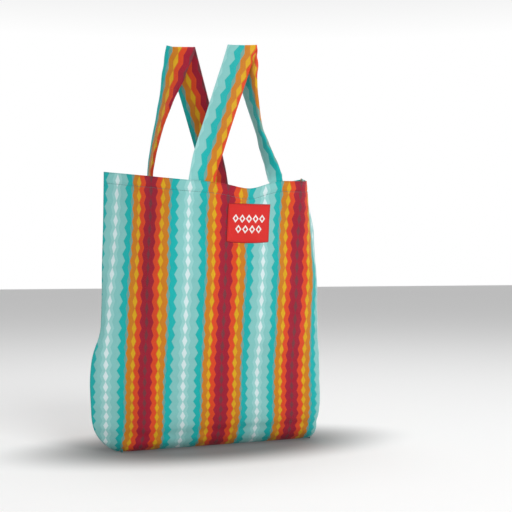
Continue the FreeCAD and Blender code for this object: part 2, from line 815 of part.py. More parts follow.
plunger = turned_body("cord_lock_plunger", "plunger_radius", -size("plunger_tail"),
                      "sizes.plunger_tail + sizes.barrel_right + sizes.button_proud",
                      "button_edge")
cord_clearance = 0.1
strand_half = (size("strand_spacing") + size("cord_diameter")) / 2 + cord_clearance
pocket(plunger, "plunger_slot", "XY_Plane",
       slot_outline(-strand_half, strand_half + size("press_travel")), 0, True)
plunger.Placement = lock_place
parts.append(plunger)

spring_left = -size("barrel_left") + size("bore_floor") + size("spring_wire") / 2
spring_length = -size("plunger_tail") - size("spring_wire") / 2 - spring_left
coil = Part.makeHelix(spring_length / size("spring_turns"), spring_length, size("spring_radius"))
wire = Part.Wire(Part.makeCircle(size("spring_wire") / 2, Vec(size("spring_radius"), 0, 0),
                                 Vec(0, 1, 0)))
spring = Part.Wire(coil).makePipeShell([wire], True, True)
spring_place = lock_place.multiply(turned(90, Vec(0, 1, 0), ACROSS * spring_left))
keep("cord_lock_spring", spring, spring_place)

# ------------------------------------------------------------- checks and files
doc.recompute()
for item in doc.Objects:
    if "Invalid" in item.State or "Error" in item.State:
        raise RuntimeError(f"{item.Label} failed: {item.State}")
os.makedirs("parts", exist_ok=True)
for item in parts:
    shape = item.Shape
    if shape.isNull() or not shape.isValid() or shape.Volume <= 0:
        raise RuntimeError(f"{item.Label} has no valid shape")
    shape.exportStep(f"parts/{item.Label}.step")
    print(f"{item.Label:26s} {shape.ShapeType:10s} {len(shape.Solids)} solid "
          f"{shape.Volume / 1000:9.3f} cm3")
print(len(parts), "parts written")
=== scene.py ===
# %% [markdown]
# # A folding tote in thin printed nylon
# The bag is a few flat cuts of very thin cloth, sewn together, with two straps of the same
# cloth and a small stuff pouch on a tape inside. A imported model of it gives every size and
# every moving body. This file gives it cloth, thread, print, cord and light.
# The first cell loads that model as a fixed frame and can read the box of any of its parts.

# %% Load the frame
import math
import bpy
import bmesh
from mathutils import Matrix, Vector, noise


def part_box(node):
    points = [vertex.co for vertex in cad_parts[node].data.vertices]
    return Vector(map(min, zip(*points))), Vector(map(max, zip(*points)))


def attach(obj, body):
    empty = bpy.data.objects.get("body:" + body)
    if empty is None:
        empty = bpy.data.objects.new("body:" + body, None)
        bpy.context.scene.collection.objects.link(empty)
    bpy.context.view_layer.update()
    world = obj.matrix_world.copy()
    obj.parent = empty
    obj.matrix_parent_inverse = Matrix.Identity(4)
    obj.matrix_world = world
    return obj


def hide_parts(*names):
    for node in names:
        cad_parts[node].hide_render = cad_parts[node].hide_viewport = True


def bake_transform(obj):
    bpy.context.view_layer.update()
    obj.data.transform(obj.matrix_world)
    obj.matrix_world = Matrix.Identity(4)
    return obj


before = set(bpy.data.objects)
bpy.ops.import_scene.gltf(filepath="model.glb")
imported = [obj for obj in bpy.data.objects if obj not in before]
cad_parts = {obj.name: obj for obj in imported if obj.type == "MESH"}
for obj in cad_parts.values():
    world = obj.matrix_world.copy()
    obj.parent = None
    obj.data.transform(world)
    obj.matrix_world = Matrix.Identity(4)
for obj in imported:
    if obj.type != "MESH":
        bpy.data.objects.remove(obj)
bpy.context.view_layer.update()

MM = 0.001

# %% [markdown]
# ## Camera first
# The camera stands left of the bag and level with its middle, so the mouth is seen edge-on.
# A moderately long lens keeps the upright edges nearly parallel.

# %% Camera
CAMERA_TURN = math.radians(24)
CAMERA_DISTANCE = 1.62
CAMERA_HEIGHT = 0.282
CAMERA_ASIDE = 0.076
LENS = 71.2
LENS_SHIFT = 0.0234
SENSOR_WIDTH = 36

look = Vector((math.sin(CAMERA_TURN), math.cos(CAMERA_TURN), 0))
aside = Vector((math.cos(CAMERA_TURN), -math.sin(CAMERA_TURN), 0))
camera_data = bpy.data.cameras.new("camera")
camera_data.lens = LENS
camera_data.sensor_width = SENSOR_WIDTH
camera_data.shift_y = LENS_SHIFT
camera = bpy.data.objects.new("camera", camera_data)
camera.location = look * -CAMERA_DISTANCE + aside * CAMERA_ASIDE + Vector((0, 0, CAMERA_HEIGHT))
camera.rotation_euler = (math.pi / 2, 0, -CAMERA_TURN)
bpy.context.collection.objects.link(camera)
bpy.context.scene.camera = camera
print("camera at", [round(v, 3) for v in camera.location])

# %% [markdown]
# ## Studio
# A pale floor, a sky that is white near the horizon and dimmer above, a large soft light
# from the front left and a smaller one from above. Thin satin nylon needs broad lights,
# because small ones give it hard, plastic highlights. The dimmer sky lets the far faces of
# the straps fall darker than the near ones. The paper's colour holds a painted contact
# shadow right under the bag, so that it throws no light up at the cloth that curves under.

# %% Floor and lights


def area_light(name, place, target, width, power):
    """A square soft light that faces a target."""
    data = bpy.data.lights.new(name, "AREA")
    data.size = width
    data.energy = power
    light = bpy.data.objects.new(name, data)
    light.location = place
    light.rotation_euler = (Vector(target) - Vector(place)).to_track_quat("-Z", "Y").to_euler()
    bpy.context.collection.objects.link(light)
    return light


PAPER_TONE = 0.88
PAPER_GLOW = 0.10
# painted shadow: the paper's colour darkens to this tone in an oval right under the bag
PAINTED_SHADOW_TONE = 0.10
PAINTED_SHADOW_HALF_WIDTH = 0.19
PAINTED_SHADOW_HALF_DEPTH = 0.10
PAINTED_SHADOW_FADES_FROM = 0.7
PAINTED_SHADOW_FADES_TO = 2.0
floor_mesh = bmesh.new()
bmesh.ops.create_grid(floor_mesh, x_segments=1, y_segments=1, size=12)
floor_data = bpy.data.meshes.new("studio_floor")
floor_mesh.to_mesh(floor_data)
floor_mesh.free()
floor = bpy.data.objects.new("studio_floor", floor_data)
bpy.context.collection.objects.link(floor)
floor_data.materials.append(bpy.data.materials.new("floor_paper"))
floor_data.materials[0].use_nodes = True
paper = floor_data.materials[0].node_tree
paper_face = paper.nodes["Principled BSDF"]
spot = paper.nodes.new("ShaderNodeTexCoord")
stretch = paper.nodes.new("ShaderNodeVectorMath")
stretch.operation = "MULTIPLY"
stretch.inputs[1].default_value = (1 / PAINTED_SHADOW_HALF_WIDTH, 1 / PAINTED_SHADOW_HALF_DEPTH, 0)
reach = paper.nodes.new("ShaderNodeVectorMath")
reach.operation = "LENGTH"
# painted shadow on the floor: the colour fades from the dark tone under the bag to the paper's
# tone
painted_shadow = paper.nodes.new("ShaderNodeMapRange")
painted_shadow.interpolation_type = "SMOOTHSTEP"
for socket, value in (("From Min", PAINTED_SHADOW_FADES_FROM), ("From Max", PAINTED_SHADOW_FADES_TO),
                      ("To Min", PAINTED_SHADOW_TONE), ("To Max", PAPER_TONE)):
    painted_shadow.inputs[socket].default_value = value
paper.links.new(spot.outputs["Object"], stretch.inputs[0])
paper.links.new(stretch.outputs[0], reach.inputs[0])
paper.links.new(reach.outputs["Value"], painted_shadow.inputs["Value"])
paper.links.new(painted_shadow.outputs[0], paper_face.inputs["Base Color"])
paper_face.inputs["Roughness"].default_value = 0.9
paper_face.inputs["Emission Color"].default_value = (1, 1, 1, 1)
paper_face.inputs["Emission Strength"].default_value = PAPER_GLOW

HORIZON_BAND = 0.22
SKY_ABOVE = 0.36
middle = (0, 0, 0.3)
area_light("key", (0.35, -2.6, 2.2), middle, 1.4, 44)
area_light("fill", (2.4, -1.2, 1.2), middle, 2.0, 8)
area_light("top", (0.1, 0.5, 2.6), middle, 1.6, 20)

world = bpy.data.worlds.new("studio_sky")
world.use_nodes = True
sky = world.node_tree
place = sky.nodes.new("ShaderNodeTexCoord")
split = sky.nodes.new("ShaderNodeSeparateXYZ")
level = sky.nodes.new("ShaderNodeMath")
level.operation = "ABSOLUTE"
ramp = sky.nodes.new("ShaderNodeMapRange")
for socket, value in (("From Min", HORIZON_BAND), ("From Max", 2 * HORIZON_BAND),
                      ("To Min", 1.0), ("To Max", SKY_ABOVE)):
    ramp.inputs[socket].default_value = value
sky.links.new(place.outputs["Generated"], split.inputs[0])
sky.links.new(split.outputs[2], level.inputs[0])
sky.links.new(level.outputs[0], ramp.inputs["Value"])
sky.links.new(ramp.outputs[0], sky.nodes["Background"].inputs["Strength"])
sky.nodes["Background"].inputs["Color"].default_value = (1, 1, 1, 1)
bpy.context.scene.world = world
bpy.context.scene.view_settings.view_transform = "Standard"

# %% [markdown]
# ## A small kit for node materials
# Each finish below is a short chain of math nodes. Wiring them by hand hides the idea, so
# this class adds a node and returns its output, and a sum reads like a sum.

# %% Node kit


class Finish:
    """A node material under construction."""

    def __init__(self, name, roughness, sheen=0.0):
        self.material = bpy.data.materials.new(name)
        self.material.use_nodes = True
        self.tree = self.material.node_tree
        self.shader = self.tree.nodes["Principled BSDF"]
        self.shader.inputs["Roughness"].default_value = roughness
        self.shader.inputs["Sheen Weight"].default_value = sheen
        self.shader.inputs["Specular IOR Level"].default_value = 0.3

    def plug(self, socket, value):
        """Give an input a value or wire it to an output."""
        if isinstance(value, bpy.types.NodeSocket):
            self.tree.links.new(value, socket)
        else:
            socket.default_value = value

    def calc(self, operation, first, second=0.0, clamp=False):
        """One math node."""
        node = self.tree.nodes.new("ShaderNodeMath")
        node.operation = operation
        node.use_clamp = clamp
        self.plug(node.inputs[0], first)
        self.plug(node.inputs[1], second)
        return node.outputs[0]

    def mix(self, share, first, second):
        """One colour mix; a colour is three numbers or an output."""
        node = self.tree.nodes.new("ShaderNodeMix")
        node.data_type = "RGBA"
        self.plug(node.inputs[0], share)
        for socket, value in ((node.inputs[6], first), (node.inputs[7], second)):
            self.plug(socket, (*value, 1) if isinstance(value, tuple) else value)
        return node.outputs[2]

    def uv(self, layer):
        """The two coordinates of a UV layer."""
        source = self.tree.nodes.new("ShaderNodeUVMap")
        source.uv_map = layer
        split = self.tree.nodes.new("ShaderNodeSeparateXYZ")
        self.tree.links.new(source.outputs[0], split.inputs[0])
        return split.outputs[0], split.outputs[1]

    def grain(self, scale, detail=2.0):
        """Noise on object coordinates, about 0.5 in the middle."""
        place = self.tree.nodes.new("ShaderNodeTexCoord")
        node = self.tree.nodes.new("ShaderNodeTexNoise")
        node.inputs["Scale"].default_value = scale
        node.inputs["Detail"].default_value = detail
        self.tree.links.new(place.outputs["Object"], node.inputs["Vector"])
        return node.outputs[0]

    def threads(self, pitch):
        """Height of a plain weave on the cloth's own metres."""
        along, across = self.uv("cloth")
        warp = self.calc("SINE", self.calc("MULTIPLY", along, 2 * math.pi / pitch))
        weft = self.calc("SINE", self.calc("MULTIPLY", across, 2 * math.pi / pitch))
        return self.calc("MULTIPLY", warp, weft)

    def bump(self, height, distance, strength=1.0):
        """Feed a height to the shader's normal."""
        node = self.tree.nodes.new("ShaderNodeBump")
        node.inputs["Distance"].default_value = distance
        node.inputs["Strength"].default_value = strength
        self.plug(node.inputs["Height"], height)
        self.tree.links.new(node.outputs[0], self.shader.inputs["Normal"])

    def colour(self, value):
        """Set or wire the base colour."""
        self.plug(self.shader.inputs["Base Color"],
                  (*value, 1) if isinstance(value, tuple) else value)


def srgb(red, green, blue):
    """Screen colour numbers, 0 to 255, as linear light."""
    shares = [v / 255 for v in (red, green, blue)]
    return tuple(v / 12.92 if v < 0.04045 else ((v + 0.055) / 1.055) ** 2.4 for v in shares)


# %% [markdown]
# ## The print
# The cloth is printed with upright stripes whose borders zigzag. Every stripe set is a
# mirror image about a crimson line and about a pale line, so one number, the distance from
# the crimson line to the pale one, picks the colour. A triangle wave up the cloth pushes
# each border out and in, and chains of diamonds are a distance plus that same wave.

# %% Printed nylon
STRIPE = 61.5 * MM
CRIMSON_LINE = 211 * MM
CRIMSON = srgb(172, 14, 48)
RED_ORANGE = srgb(233, 72, 24)
GOLD = srgb(216, 130, 20)
TURQUOISE = srgb(0, 186, 184)
PALE = srgb(138, 210, 206)
DARK_DIAMOND = srgb(128, 52, 62)
YELLOW = srgb(232, 178, 6)
GREY_TEAL = srgb(118, 170, 160)
RING = srgb(160, 221, 218)
WHITE = srgb(228, 248, 249)
BANDS = ((0.172, 0.030, RED_ORANGE), (0.300, 0.030, GOLD), (0.512, -0.022, TURQUOISE),
         (0.700, 0.041, PALE), (0.880, 0.028, RING))
DIAMONDS = ((0.0, 0.055, 1, DARK_DIAMOND), (0.345, 0.060, -1, YELLOW),
            (0.530, 0.045, 1, GREY_TEAL), (1.0, 0.066, -1, WHITE))
BORDER_SOFTNESS = 0.010


def printed_cloth(name, roughness=0.45):
    """Satin nylon with the striped print, read from the piece's print UVs."""
    finish = Finish(name, roughness, sheen=0.03)
    across, up = finish.uv("print")
    across = finish.calc("PINGPONG", across, 1.0)
    wave = finish.calc("SUBTRACT", 1.0, finish.calc("MULTIPLY",
                       finish.calc("PINGPONG", up, 0.5), 4.0))
    colour = CRIMSON
    for edge, swing, band in BANDS:
        border = finish.calc("ADD", finish.calc("MULTIPLY", wave, swing), edge)
        gap = finish.calc("SUBTRACT", across, border)
        share = finish.calc("ADD", finish.calc("DIVIDE", gap, BORDER_SOFTNESS), 0.5, clamp=True)
        colour = finish.mix(share, colour, band)
    for centre, half_width, side, diamond in DIAMONDS:
        away = finish.calc("ABSOLUTE", finish.calc("SUBTRACT", across, centre))
        shrink = finish.calc("MULTIPLY", finish.calc("SUBTRACT", 1.0,
                             finish.calc("MULTIPLY", wave, side)), half_width / 2)
        inside = finish.calc("SUBTRACT", half_width, finish.calc("ADD", away, shrink))
        share = finish.calc("ADD", finish.calc("DIVIDE", inside, BORDER_SOFTNESS), 0.5,
                            clamp=True)
        colour = finish.mix(share, colour, diamond)
    tone = finish.calc("ADD", finish.calc("MULTIPLY", finish.grain(90), 0.16), 0.92)
    colour = finish.mix(finish.calc("SUBTRACT", 1.0, tone, clamp=True), colour, (0.0, 0.0, 0.0))
    finish.colour(colour)
    crumple = finish.calc("MULTIPLY", finish.grain(38, 4.0), 6.0)
    finish.bump(finish.calc("ADD", finish.threads(0.55 * MM), crumple), 0.12 * MM)
    return finish.material


nylon = printed_cloth("printed_nylon")
print("print repeats every", round(2 * STRIPE / MM), "mm")

# %% [markdown]
# ## Cloth as a grid
# Every cloth piece here starts as one flat grid, as it does on the cutting table. The
# grid's corners run from 0 to 1 both ways. A function moves each point to its place on
# the bag, and two UV layers keep what the flat cloth knows: where the print falls, and how
# many metres of cloth lie between two points.

# %% Grid helper


def new_piece(name, mesh, material):
    """A smooth-shaded object at the origin from a bmesh, which is freed."""
    data = bpy.data.meshes.new(name)
    mesh.to_mesh(data)
    mesh.free()
    data.materials.append(material)
    data.shade_smooth()
    piece = bpy.data.objects.new(name, data)
    bpy.context.collection.objects.link(piece)
    return piece


def cloth_grid(columns, rows, place, printed, metres):
    """A grid whose points go where place says, with print and cloth UVs."""
    mesh = bmesh.new()
    bmesh.ops.create_grid(mesh, x_segments=columns, y_segments=rows, size=0.5)
    mesh.verts.index_update()
    flat = [(v.co.x + 0.5, v.co.y + 0.5) for v in mesh.verts]
    print_layer = mesh.loops.layers.uv.new("print")
    cloth_layer = mesh.loops.layers.uv.new("cloth")
    for face in mesh.faces:
        for loop in face.loops:
            share, rise = flat[loop.vert.index]
            loop[print_layer].uv = printed(share, rise)
            loop[cloth_layer].uv = metres(share, rise)
    for vertex, (share, rise) in zip(mesh.verts, flat):
        vertex.co = place(share, rise)
    return mesh


HALF_TURN = Matrix.Rotation(math.pi, 4, "Z")


def finished(name, mesh, material, body, node, turned=False):
    """A piece on its body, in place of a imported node; turned ones belong to the back."""
    if turned:
        bmesh.ops.transform(mesh, matrix=HALF_TURN, verts=mesh.verts)
    piece = new_piece(name, mesh, material)
    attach(piece, body)
    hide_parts(node)
    return piece


def thicken(piece, thickness, offset=-1.0):
    """Give a sheet its thickness, on the inside of its faces unless told otherwise."""
    solid = piece.modifiers.new("thickness", "SOLIDIFY")
    solid.thickness = thickness
    solid.offset = offset
    solid.use_even_offset = False


def smooth_step(low, high, value):
    """0 below low, 1 above high and an even ramp between."""
    share = min(max((value - low) / (high - low), 0), 1)
    return share * share * (3 - 2 * share)


def bump_at(value, centre, width):
    """A bell of height 1."""
    return math.exp(-((value - centre) / width) ** 2)


# %% [markdown]
# ## The shape of the bag
# Seen from above, each panel runs from its left seam to a soft left corner, straight
# across, round a tighter right corner and back to the right seam. The back panel is the
# front one turned half round. Five such runs, from the floor to the rim, set the bag's
# shape, and heights between them are averaged over a few centimetres, so that the cloth
# has no hard creases where one run ends.

# %% Runs and levels
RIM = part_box("front_panel")[1].z
FLOOR_DEPTH = 32 * MM
# height, left reach, right reach, half depth, left run, right run, left bend, right bend
RUNS = tuple(tuple(value * MM for value in run) for run in (
    (0, 153, 177, 32, 10, 8, 24, 18),
    (8, 167, 184, 44, 34, 14, 34, 20),
    (20, 180, 190, 52, 58, 20, 48, 24),
    (32, 187, 193, 56, 68, 23, 54, 24),
    (48, 191, 195, 59, 72, 24, 56, 24),
    (110, 194, 196, 60, 74, 26, 56, 26),
    (145, 191, 194, 64, 74, 27, 56, 26),
    (165, 184, 192, 67, 71, 28, 56, 26),
    (182, 177, 191, 69, 68, 28, 56, 26),
    (240, 175, 189, 76, 69, 32, 56, 26),
    (280, 175, 186, 81, 71, 34, 56, 26),
    (350, 173, 177, 89, 73, 36, 58, 26),
    (RIM / MM, 172, 165, 99, 76, 37, 58, 24),
))
SOFTENING = 12 * MM


def level_between(height):
    """The run at one height, straight between the two nearest."""
    height = min(max(height, 0), RIM)
    for low, high in zip(RUNS, RUNS[1:]):
        if height <= high[0]:
            share = (height - low[0]) / (high[0] - low[0])
            return [a + (b - a) * share for a, b in zip(low[1:], high[1:])]
    return list(RUNS[-1][1:])


def level_at(height):
    """The run at one height, averaged over a short stretch above and below."""
    reach = min(SOFTENING, max(height, 0) * 0.6, max(RIM - height, 0) * 0.8)
    samples = [level_between(height + reach * step / 3) for step in range(-3, 4)]
    return [sum(values) / len(values) for values in zip(*samples)]


class Run:
    """One run of cloth at one height, measured along its own length."""

    def __init__(self, height, mirror):
        left, right, depth, left_run, right_run, left_bend, right_bend = level_at(height)
        if mirror < 0:
            left, right = right, left
        points = [Vector((-left, 0)), Vector((-left + left_run, -depth)),
                  Vector((right - right_run, -depth)), Vector((right, 0))]
        self.parts = []
        start = points[0]
        for before, corner, after, bend in zip(points, points[1:], points[2:],
                                               (left_bend, right_bend)):
            arriving = (corner - before).normalized()
            leaving = (after - corner).normalized()
            turn = arriving.angle(leaving)
            bend = min(bend, 0.8 * (corner - start).length / math.tan(turn / 2))
            reach = bend * math.tan(turn / 2)
            self.parts.append((start, arriving, (corner - arriving * reach - start).length, 0))
            self.parts.append((corner - arriving * reach, arriving, bend * turn, bend))
            start = corner + leaving * reach
        leaving = (points[-1] - start).normalized()
        self.parts.append((start, leaving, (points[-1] - start).length, 0))
        self.length = sum(part[2] for part in self.parts)
        self.middle = sum(part[2] for part in self.parts[:2]) - self.parts[2][0].x

    def at(self, distance):
        """Point and outward direction at a distance from the left seam."""
        for part in self.parts[:-1]:
            if distance <= part[2]:
                break
            distance -= part[2]
        else:
            part = self.parts[-1]
        start, along, _, bend = part
        if bend:
            turned = distance / bend
            left = Vector((-along.y, along.x))
            point = start + along * bend * math.sin(turned) + left * bend * (1 - math.cos(turned))
            heading = along * math.cos(turned) + left * math.sin(turned)
        else:
            point = start + along * distance
            heading = along
        return point, Vector((heading.y, -heading.x))


print("cloth round one panel at the rim:", round(Run(RIM, 1).length / MM), "mm, at the belly:",
      round(Run(0.1, 1).length / MM), "mm")

# %% [markdown]
# ## Where real cloth leaves the plan
# The rim hangs lower between the strap feet than at the side seams, and the feet lift it a
# little. The straps pull shallow fans of folds down from their feet. The belly carries
# long, soft, upright waves, and everything has a fine crumple from being packed. Each of
# these is a small push along the cloth's outward direction, so no stretch shows.

# %% Folds
RIM_FALL = 0.15
FRONT_FEET = (-48.5 * MM, 74.5 * MM)
BACK_FEET = (-54.5 * MM, 68.5 * MM)
BASE_ROUNDING = 14 * MM
UPRIGHT_BELOW = 110 * MM
CLOTH = 0.45 * MM
HANG = 7.5 * MM
HANG_ASIDE = 16 * MM
HANG_HALF_WIDTH = 34 * MM
SLOPE = 4.0 * MM
SLOPE_REACH = 80 * MM
FOOT_LIFT = 6.5 * MM
FOOT_MARGIN = 10 * MM


def rim_sag(across, feet):
    """How far the rim hangs below its plan between and beside the strap feet."""
    centre = (feet[0] + feet[1]) / 2
    hang = HANG * bump_at(across, centre + HANG_ASIDE, HANG_HALF_WIDTH)
    slope = SLOPE * smooth_step(feet[0] - SLOPE_REACH, centre, across)
    rise = FOOT_LIFT * smooth_step(centre + FOOT_MARGIN, feet[1] + FOOT_MARGIN, across)
    return hang + slope - rise


FAN_DEPTH = 1.6 * MM
FAN_FOLDS = 9
FAN_ROOT = 20 * MM
FAN_LENGTH = 110 * MM
FAN_HALF_WIDTH = 90 * MM
# depth, length and lean of each set of upright waves, and its share of the seed
WAVES = ((2.2 * MM, 23 * MM, 2.6, 1), (1.4 * MM, 12 * MM, -3.4, 2))
DENT_DEPTH = 8.0 * MM
SMALL_DENT_DEPTH = 3.5 * MM
CRUMPLE_DEPTH = 1.1 * MM
LOW_CREASE_DEPTH = 2.0 * MM
LOW_CREASE_HALF_WIDTH = 7 * MM


def fold_push(across, height, travel, feet, seed):
    """Outward push of the folds at one point of a panel."""
    down = RIM - height
    fan = 0.0
    for foot, sign in zip(feet, (-1, 1)):
        lean = across - foot
        angle = math.atan2(lean, down + FAN_ROOT)
        reach = smooth_step(0, 40 * MM, down) * math.exp(-down / FAN_LENGTH)
        reach *= bump_at(lean, 0, FAN_HALF_WIDTH)
        fan += FAN_DEPTH * math.cos(FAN_FOLDS * (angle + 0.2 * sign)) * reach
    belly = smooth_step(0, 60 * MM, height) * smooth_step(0, 90 * MM, down)
    waves = sum(depth * math.sin(travel / length + lean * height / RIM + part * seed)
                for depth, length, lean, part in WAVES)
    dents = DENT_DEPTH * (noise.noise(Vector((travel * 9, height * 5, seed))) - 0.1)
    dents += SMALL_DENT_DEPTH * noise.noise(Vector((travel * 22, height * 14, seed + 9)))
    crumple = CRUMPLE_DEPTH * noise.noise(Vector((travel * 55, height * 38, seed)))
    low_crease = LOW_CREASE_DEPTH * smooth_step(0, 20 * MM, height) * bump_at(
        height, (26 + 18 * travel) * MM, LOW_CREASE_HALF_WIDTH)
    return fan + belly * (waves + dents) + crumple - low_crease


STITCH_DROP = 16.5 * MM
GROOVE_DEPTH = 0.7 * MM
GROOVE_HALF_WIDTH = 1.6 * MM


def stitch_groove(down):
    """The hem's thread pulls the cloth in along its line."""
    return -GROOVE_DEPTH * bump_at(down, STITCH_DROP, GROOVE_HALF_WIDTH)


# %% [markdown]
# ## Panels
# One panel is one sheet: from the seam in the middle of the base, out to the base's edge,
# round it and up to the rim. The rows are close together near the rim, where the hem's
# thread makes a groove, and further apart below. The print's zigzags are closer together
# low down than near the rim, so the print's own height is a sum along the cloth.

# %% Front and back panels
COLUMNS = 170
WALL_ROWS = 130
HEM_ROWS = 22
BASE_ROWS = 12
HEM_ZONE = 26 * MM
PITCH_HIGH = 20.7 * MM
PITCH_LOW = 13.6 * MM
PITCH_GROWS = (70 * MM, 250 * MM)
SEAM_EASE = 14 * MM
FALL_FADES_OVER = 170 * MM


def up_the_cloth(rise):
    """Share of rows to distance from the bottom seam, closer together near the rim."""
    rows = BASE_ROWS + WALL_ROWS + HEM_ROWS
    row = rise * rows
    if row <= BASE_ROWS:
        return FLOOR_DEPTH * row / BASE_ROWS
    if row <= BASE_ROWS + WALL_ROWS:
        return FLOOR_DEPTH + (RIM - HEM_ZONE) * (row - BASE_ROWS) / WALL_ROWS
    return FLOOR_DEPTH + RIM - HEM_ZONE + HEM_ZONE * (row - BASE_ROWS - WALL_ROWS) / HEM_ROWS


def zigzags_below(height):
    """How many zigzags of the print lie below a height."""
    low, high = PITCH_GROWS
    if height < low:
        return height / PITCH_LOW
    change = (PITCH_HIGH - PITCH_LOW) / (high - low)
    top = min(height, high)
    count = low / PITCH_LOW + math.log((PITCH_LOW + change * (top - low)) / PITCH_LOW) / change
    return count + max(height - high, 0) / PITCH_HIGH


class Panel:
    """One panel's cloth, in the front panel's frame."""

    def __init__(self, mirror, feet, seed):
        self.mirror = mirror
        self.feet = feet
        self.seed = seed
        self.runs = {}
        self.width = Run(RIM, mirror).length

    def run(self, height):
        """The run at a height, worked out once."""
        key = round(height, 6)
        if key not in self.runs:
            self.runs[key] = Run(height, self.mirror)
        return self.runs[key]

    def plan(self, up):
        """Height and share of the base's depth at a distance from the bottom seam."""
        over = up - FLOOR_DEPTH
        height = (over + math.hypot(over, BASE_ROUNDING)) / 2
        short = (-over + math.hypot(over, BASE_ROUNDING)) / 2
        start = (-FLOOR_DEPTH + math.hypot(FLOOR_DEPTH, BASE_ROUNDING)) / 2
        return height - start, 1 - short / (FLOOR_DEPTH + start)

    def place(self, share, up, inward=0.0):
        """Where a point of the cloth lies."""
        height, depth_share = self.plan(up)
        height = min(height, RIM)
        run = self.run(height)
        travel = share * run.length
        point, out = run.at(travel)
        ends = smooth_step(0, SEAM_EASE, travel) * smooth_step(0, SEAM_EASE, run.length - travel)
        push = fold_push(point.x, height, travel, self.feet, self.seed) * ends
        push += stitch_groove(RIM - height) * ends
        point = point + out * (push * smooth_step(0.2, 1, depth_share) - inward)
        fall = RIM_FALL * abs(point.y) + rim_sag(point.x, self.feet) * ends
        drop = fall * smooth_step(RIM - FALL_FADES_OVER, RIM, height)
        return Vector((point.x, point.y * depth_share, height - drop))

    def printed(self, share, up):
        """Print coordinates: stripes across, zigzags up."""
        height = min(self.plan(up)[0], RIM)
        run = self.run(height)
        low, high = self.run(UPRIGHT_BELOW).middle, self.run(RIM).middle
        climb = max((height - UPRIGHT_BELOW) / (RIM - UPRIGHT_BELOW), 0)
        travel = share * run.length - run.middle + low + (high - low) * climb
        return (travel - CRIMSON_LINE) / STRIPE, zigzags_below(up)

    def share_at(self, across, height):
        """The share of the run that lies straight in front of a place across the bag."""
        run = self.run(min(height, RIM))
        low, high = 0.1 * run.length, 0.9 * run.length
        for _ in range(24):
            middle = (low + high) / 2
            if run.at(middle)[0].x < across:
                low = middle
            else:
                high = middle
        return low / run.length

    def sheet(self):
        """The panel's bmesh."""
        return cloth_grid(
            COLUMNS, BASE_ROWS + WALL_ROWS + HEM_ROWS,
            lambda share, rise: self.place(share, up_the_cloth(rise)),
            lambda share, rise: self.printed(share, up_the_cloth(rise)),
            lambda share, rise: (share * self.width, up_the_cloth(rise)))


front = Panel(1, FRONT_FEET, 0.7)
back = Panel(-1, BACK_FEET, 3.9)


def finish_panel(panel, name, turned, node):
    """Build a panel, turn it if it is the back one, and give it its thickness."""
    piece = finished(name, panel.sheet(), nylon, "shell", node, turned)
    thicken(piece, CLOTH)
    area = sum(face.area for face in piece.data.polygons)
    print(name, "flat", round(panel.width / MM), "by", round((FLOOR_DEPTH + RIM) / MM),
          "mm, area", round(area, 3), "m2")


finish_panel(front, "front_panel_cloth", False, "front_panel")
finish_panel(back, "back_panel_cloth", True, "back_panel")

# %% [markdown]
# ## The folded hem
# The rim is cloth folded inwards and held by one line of thread. The visible parts are the
# small roll along the top and the facing inside. One grid makes both: its first rows go
# round the roll, and the rest hang down inside the panel and follow its folds.

# %% Hem facings
HEM_WIDTH = 18 * MM
ROLL = 0.75 * MM
ROLL_ROWS = 6
FACING_ROWS = 8


def facing_point(panel, share, rise):
    """A point on the roll and facing, from the outside of the rim inwards."""
    row = rise * (ROLL_ROWS + FACING_ROWS)
    if row <= ROLL_ROWS:
        angle = math.pi * row / ROLL_ROWS
        point = panel.place(share, FLOOR_DEPTH + RIM, ROLL * (1 - math.cos(angle)) - 0.1 * MM)
        point.z += ROLL * math.sin(angle) - 0.2 * MM
        return point
    down = HEM_WIDTH * (row - ROLL_ROWS) / FACING_ROWS
    return panel.place(share, FLOOR_DEPTH + RIM - down, 2 * ROLL)


def hem_piece(panel, name, turned, node):
    """The facing of one panel."""
    mesh = cloth_grid(COLUMNS, ROLL_ROWS + FACING_ROWS,
                      lambda share, rise: facing_point(panel, share, rise),
                      lambda share, rise: panel.printed(share, FLOOR_DEPTH + RIM
                                                        - rise * HEM_WIDTH),
                      lambda share, rise: (share * panel.width, -rise * HEM_WIDTH))
    bmesh.ops.reverse_faces(mesh, faces=mesh.faces)
    piece = finished(name, mesh, nylon, "shell", node, turned)
    thicken(piece, CLOTH, 0.0)
    print(name, "hangs", round(HEM_WIDTH / MM), "mm inside")


hem_piece(front, "front_hem_facing", False, "front_hem")
hem_piece(back, "back_hem_facing", True, "back_hem")

# %% [markdown]
# ## Lines of thread
# A line of machine stitching is a row of short bars that dip into the cloth at both ends.
# One small form is copied along a path, and the path is a function, so that the same
# helper sews the hem, the patch and the strap ends.

# %% Stitches
STITCH_PITCH = 3.0 * MM
THREAD_RADIUS = 0.22 * MM
THREAD_SIDES = 6
STITCH_SHARE = 0.86


def add_stitch(mesh, start, end, out):
    """One raised bar of thread from start to end."""
    along = (end - start).normalized()
    side = along.cross(out).normalized()
    angles = [2 * math.pi * n / THREAD_SIDES for n in range(THREAD_SIDES)]
    rings = []
    for share, lift, width in ((0, -0.5, 0.5), (0.18, 0.5, 1), (0.82, 0.5, 1), (1, -0.5, 0.5)):
        centre = start.lerp(end, share) + out * (lift * THREAD_RADIUS)
        rings.append([mesh.verts.new(centre + (side * math.cos(angle) + out * math.sin(angle))
                                     * (THREAD_RADIUS * width)) for angle in angles])
    for near, far in zip(rings, rings[1:]):
        for n in range(THREAD_SIDES):
            after = (n + 1) % THREAD_SIDES
            mesh.faces.new((near[n], near[after], far[after], far[n]))
    mesh.faces.new(rings[0][::-1])
    mesh.faces.new(rings[-1])


def sew(mesh, path, outward, length):
    """Stitches along a path of that length, given as functions of distance."""
    count = max(1, round(length / STITCH_PITCH))
    pitch = length / count
    for n in range(count):
        middle = (n + 0.5) * pitch
        half = STITCH_SHARE / 2 * pitch
        add_stitch(mesh, path(middle - half), path(middle + half), outward(middle))
    return count


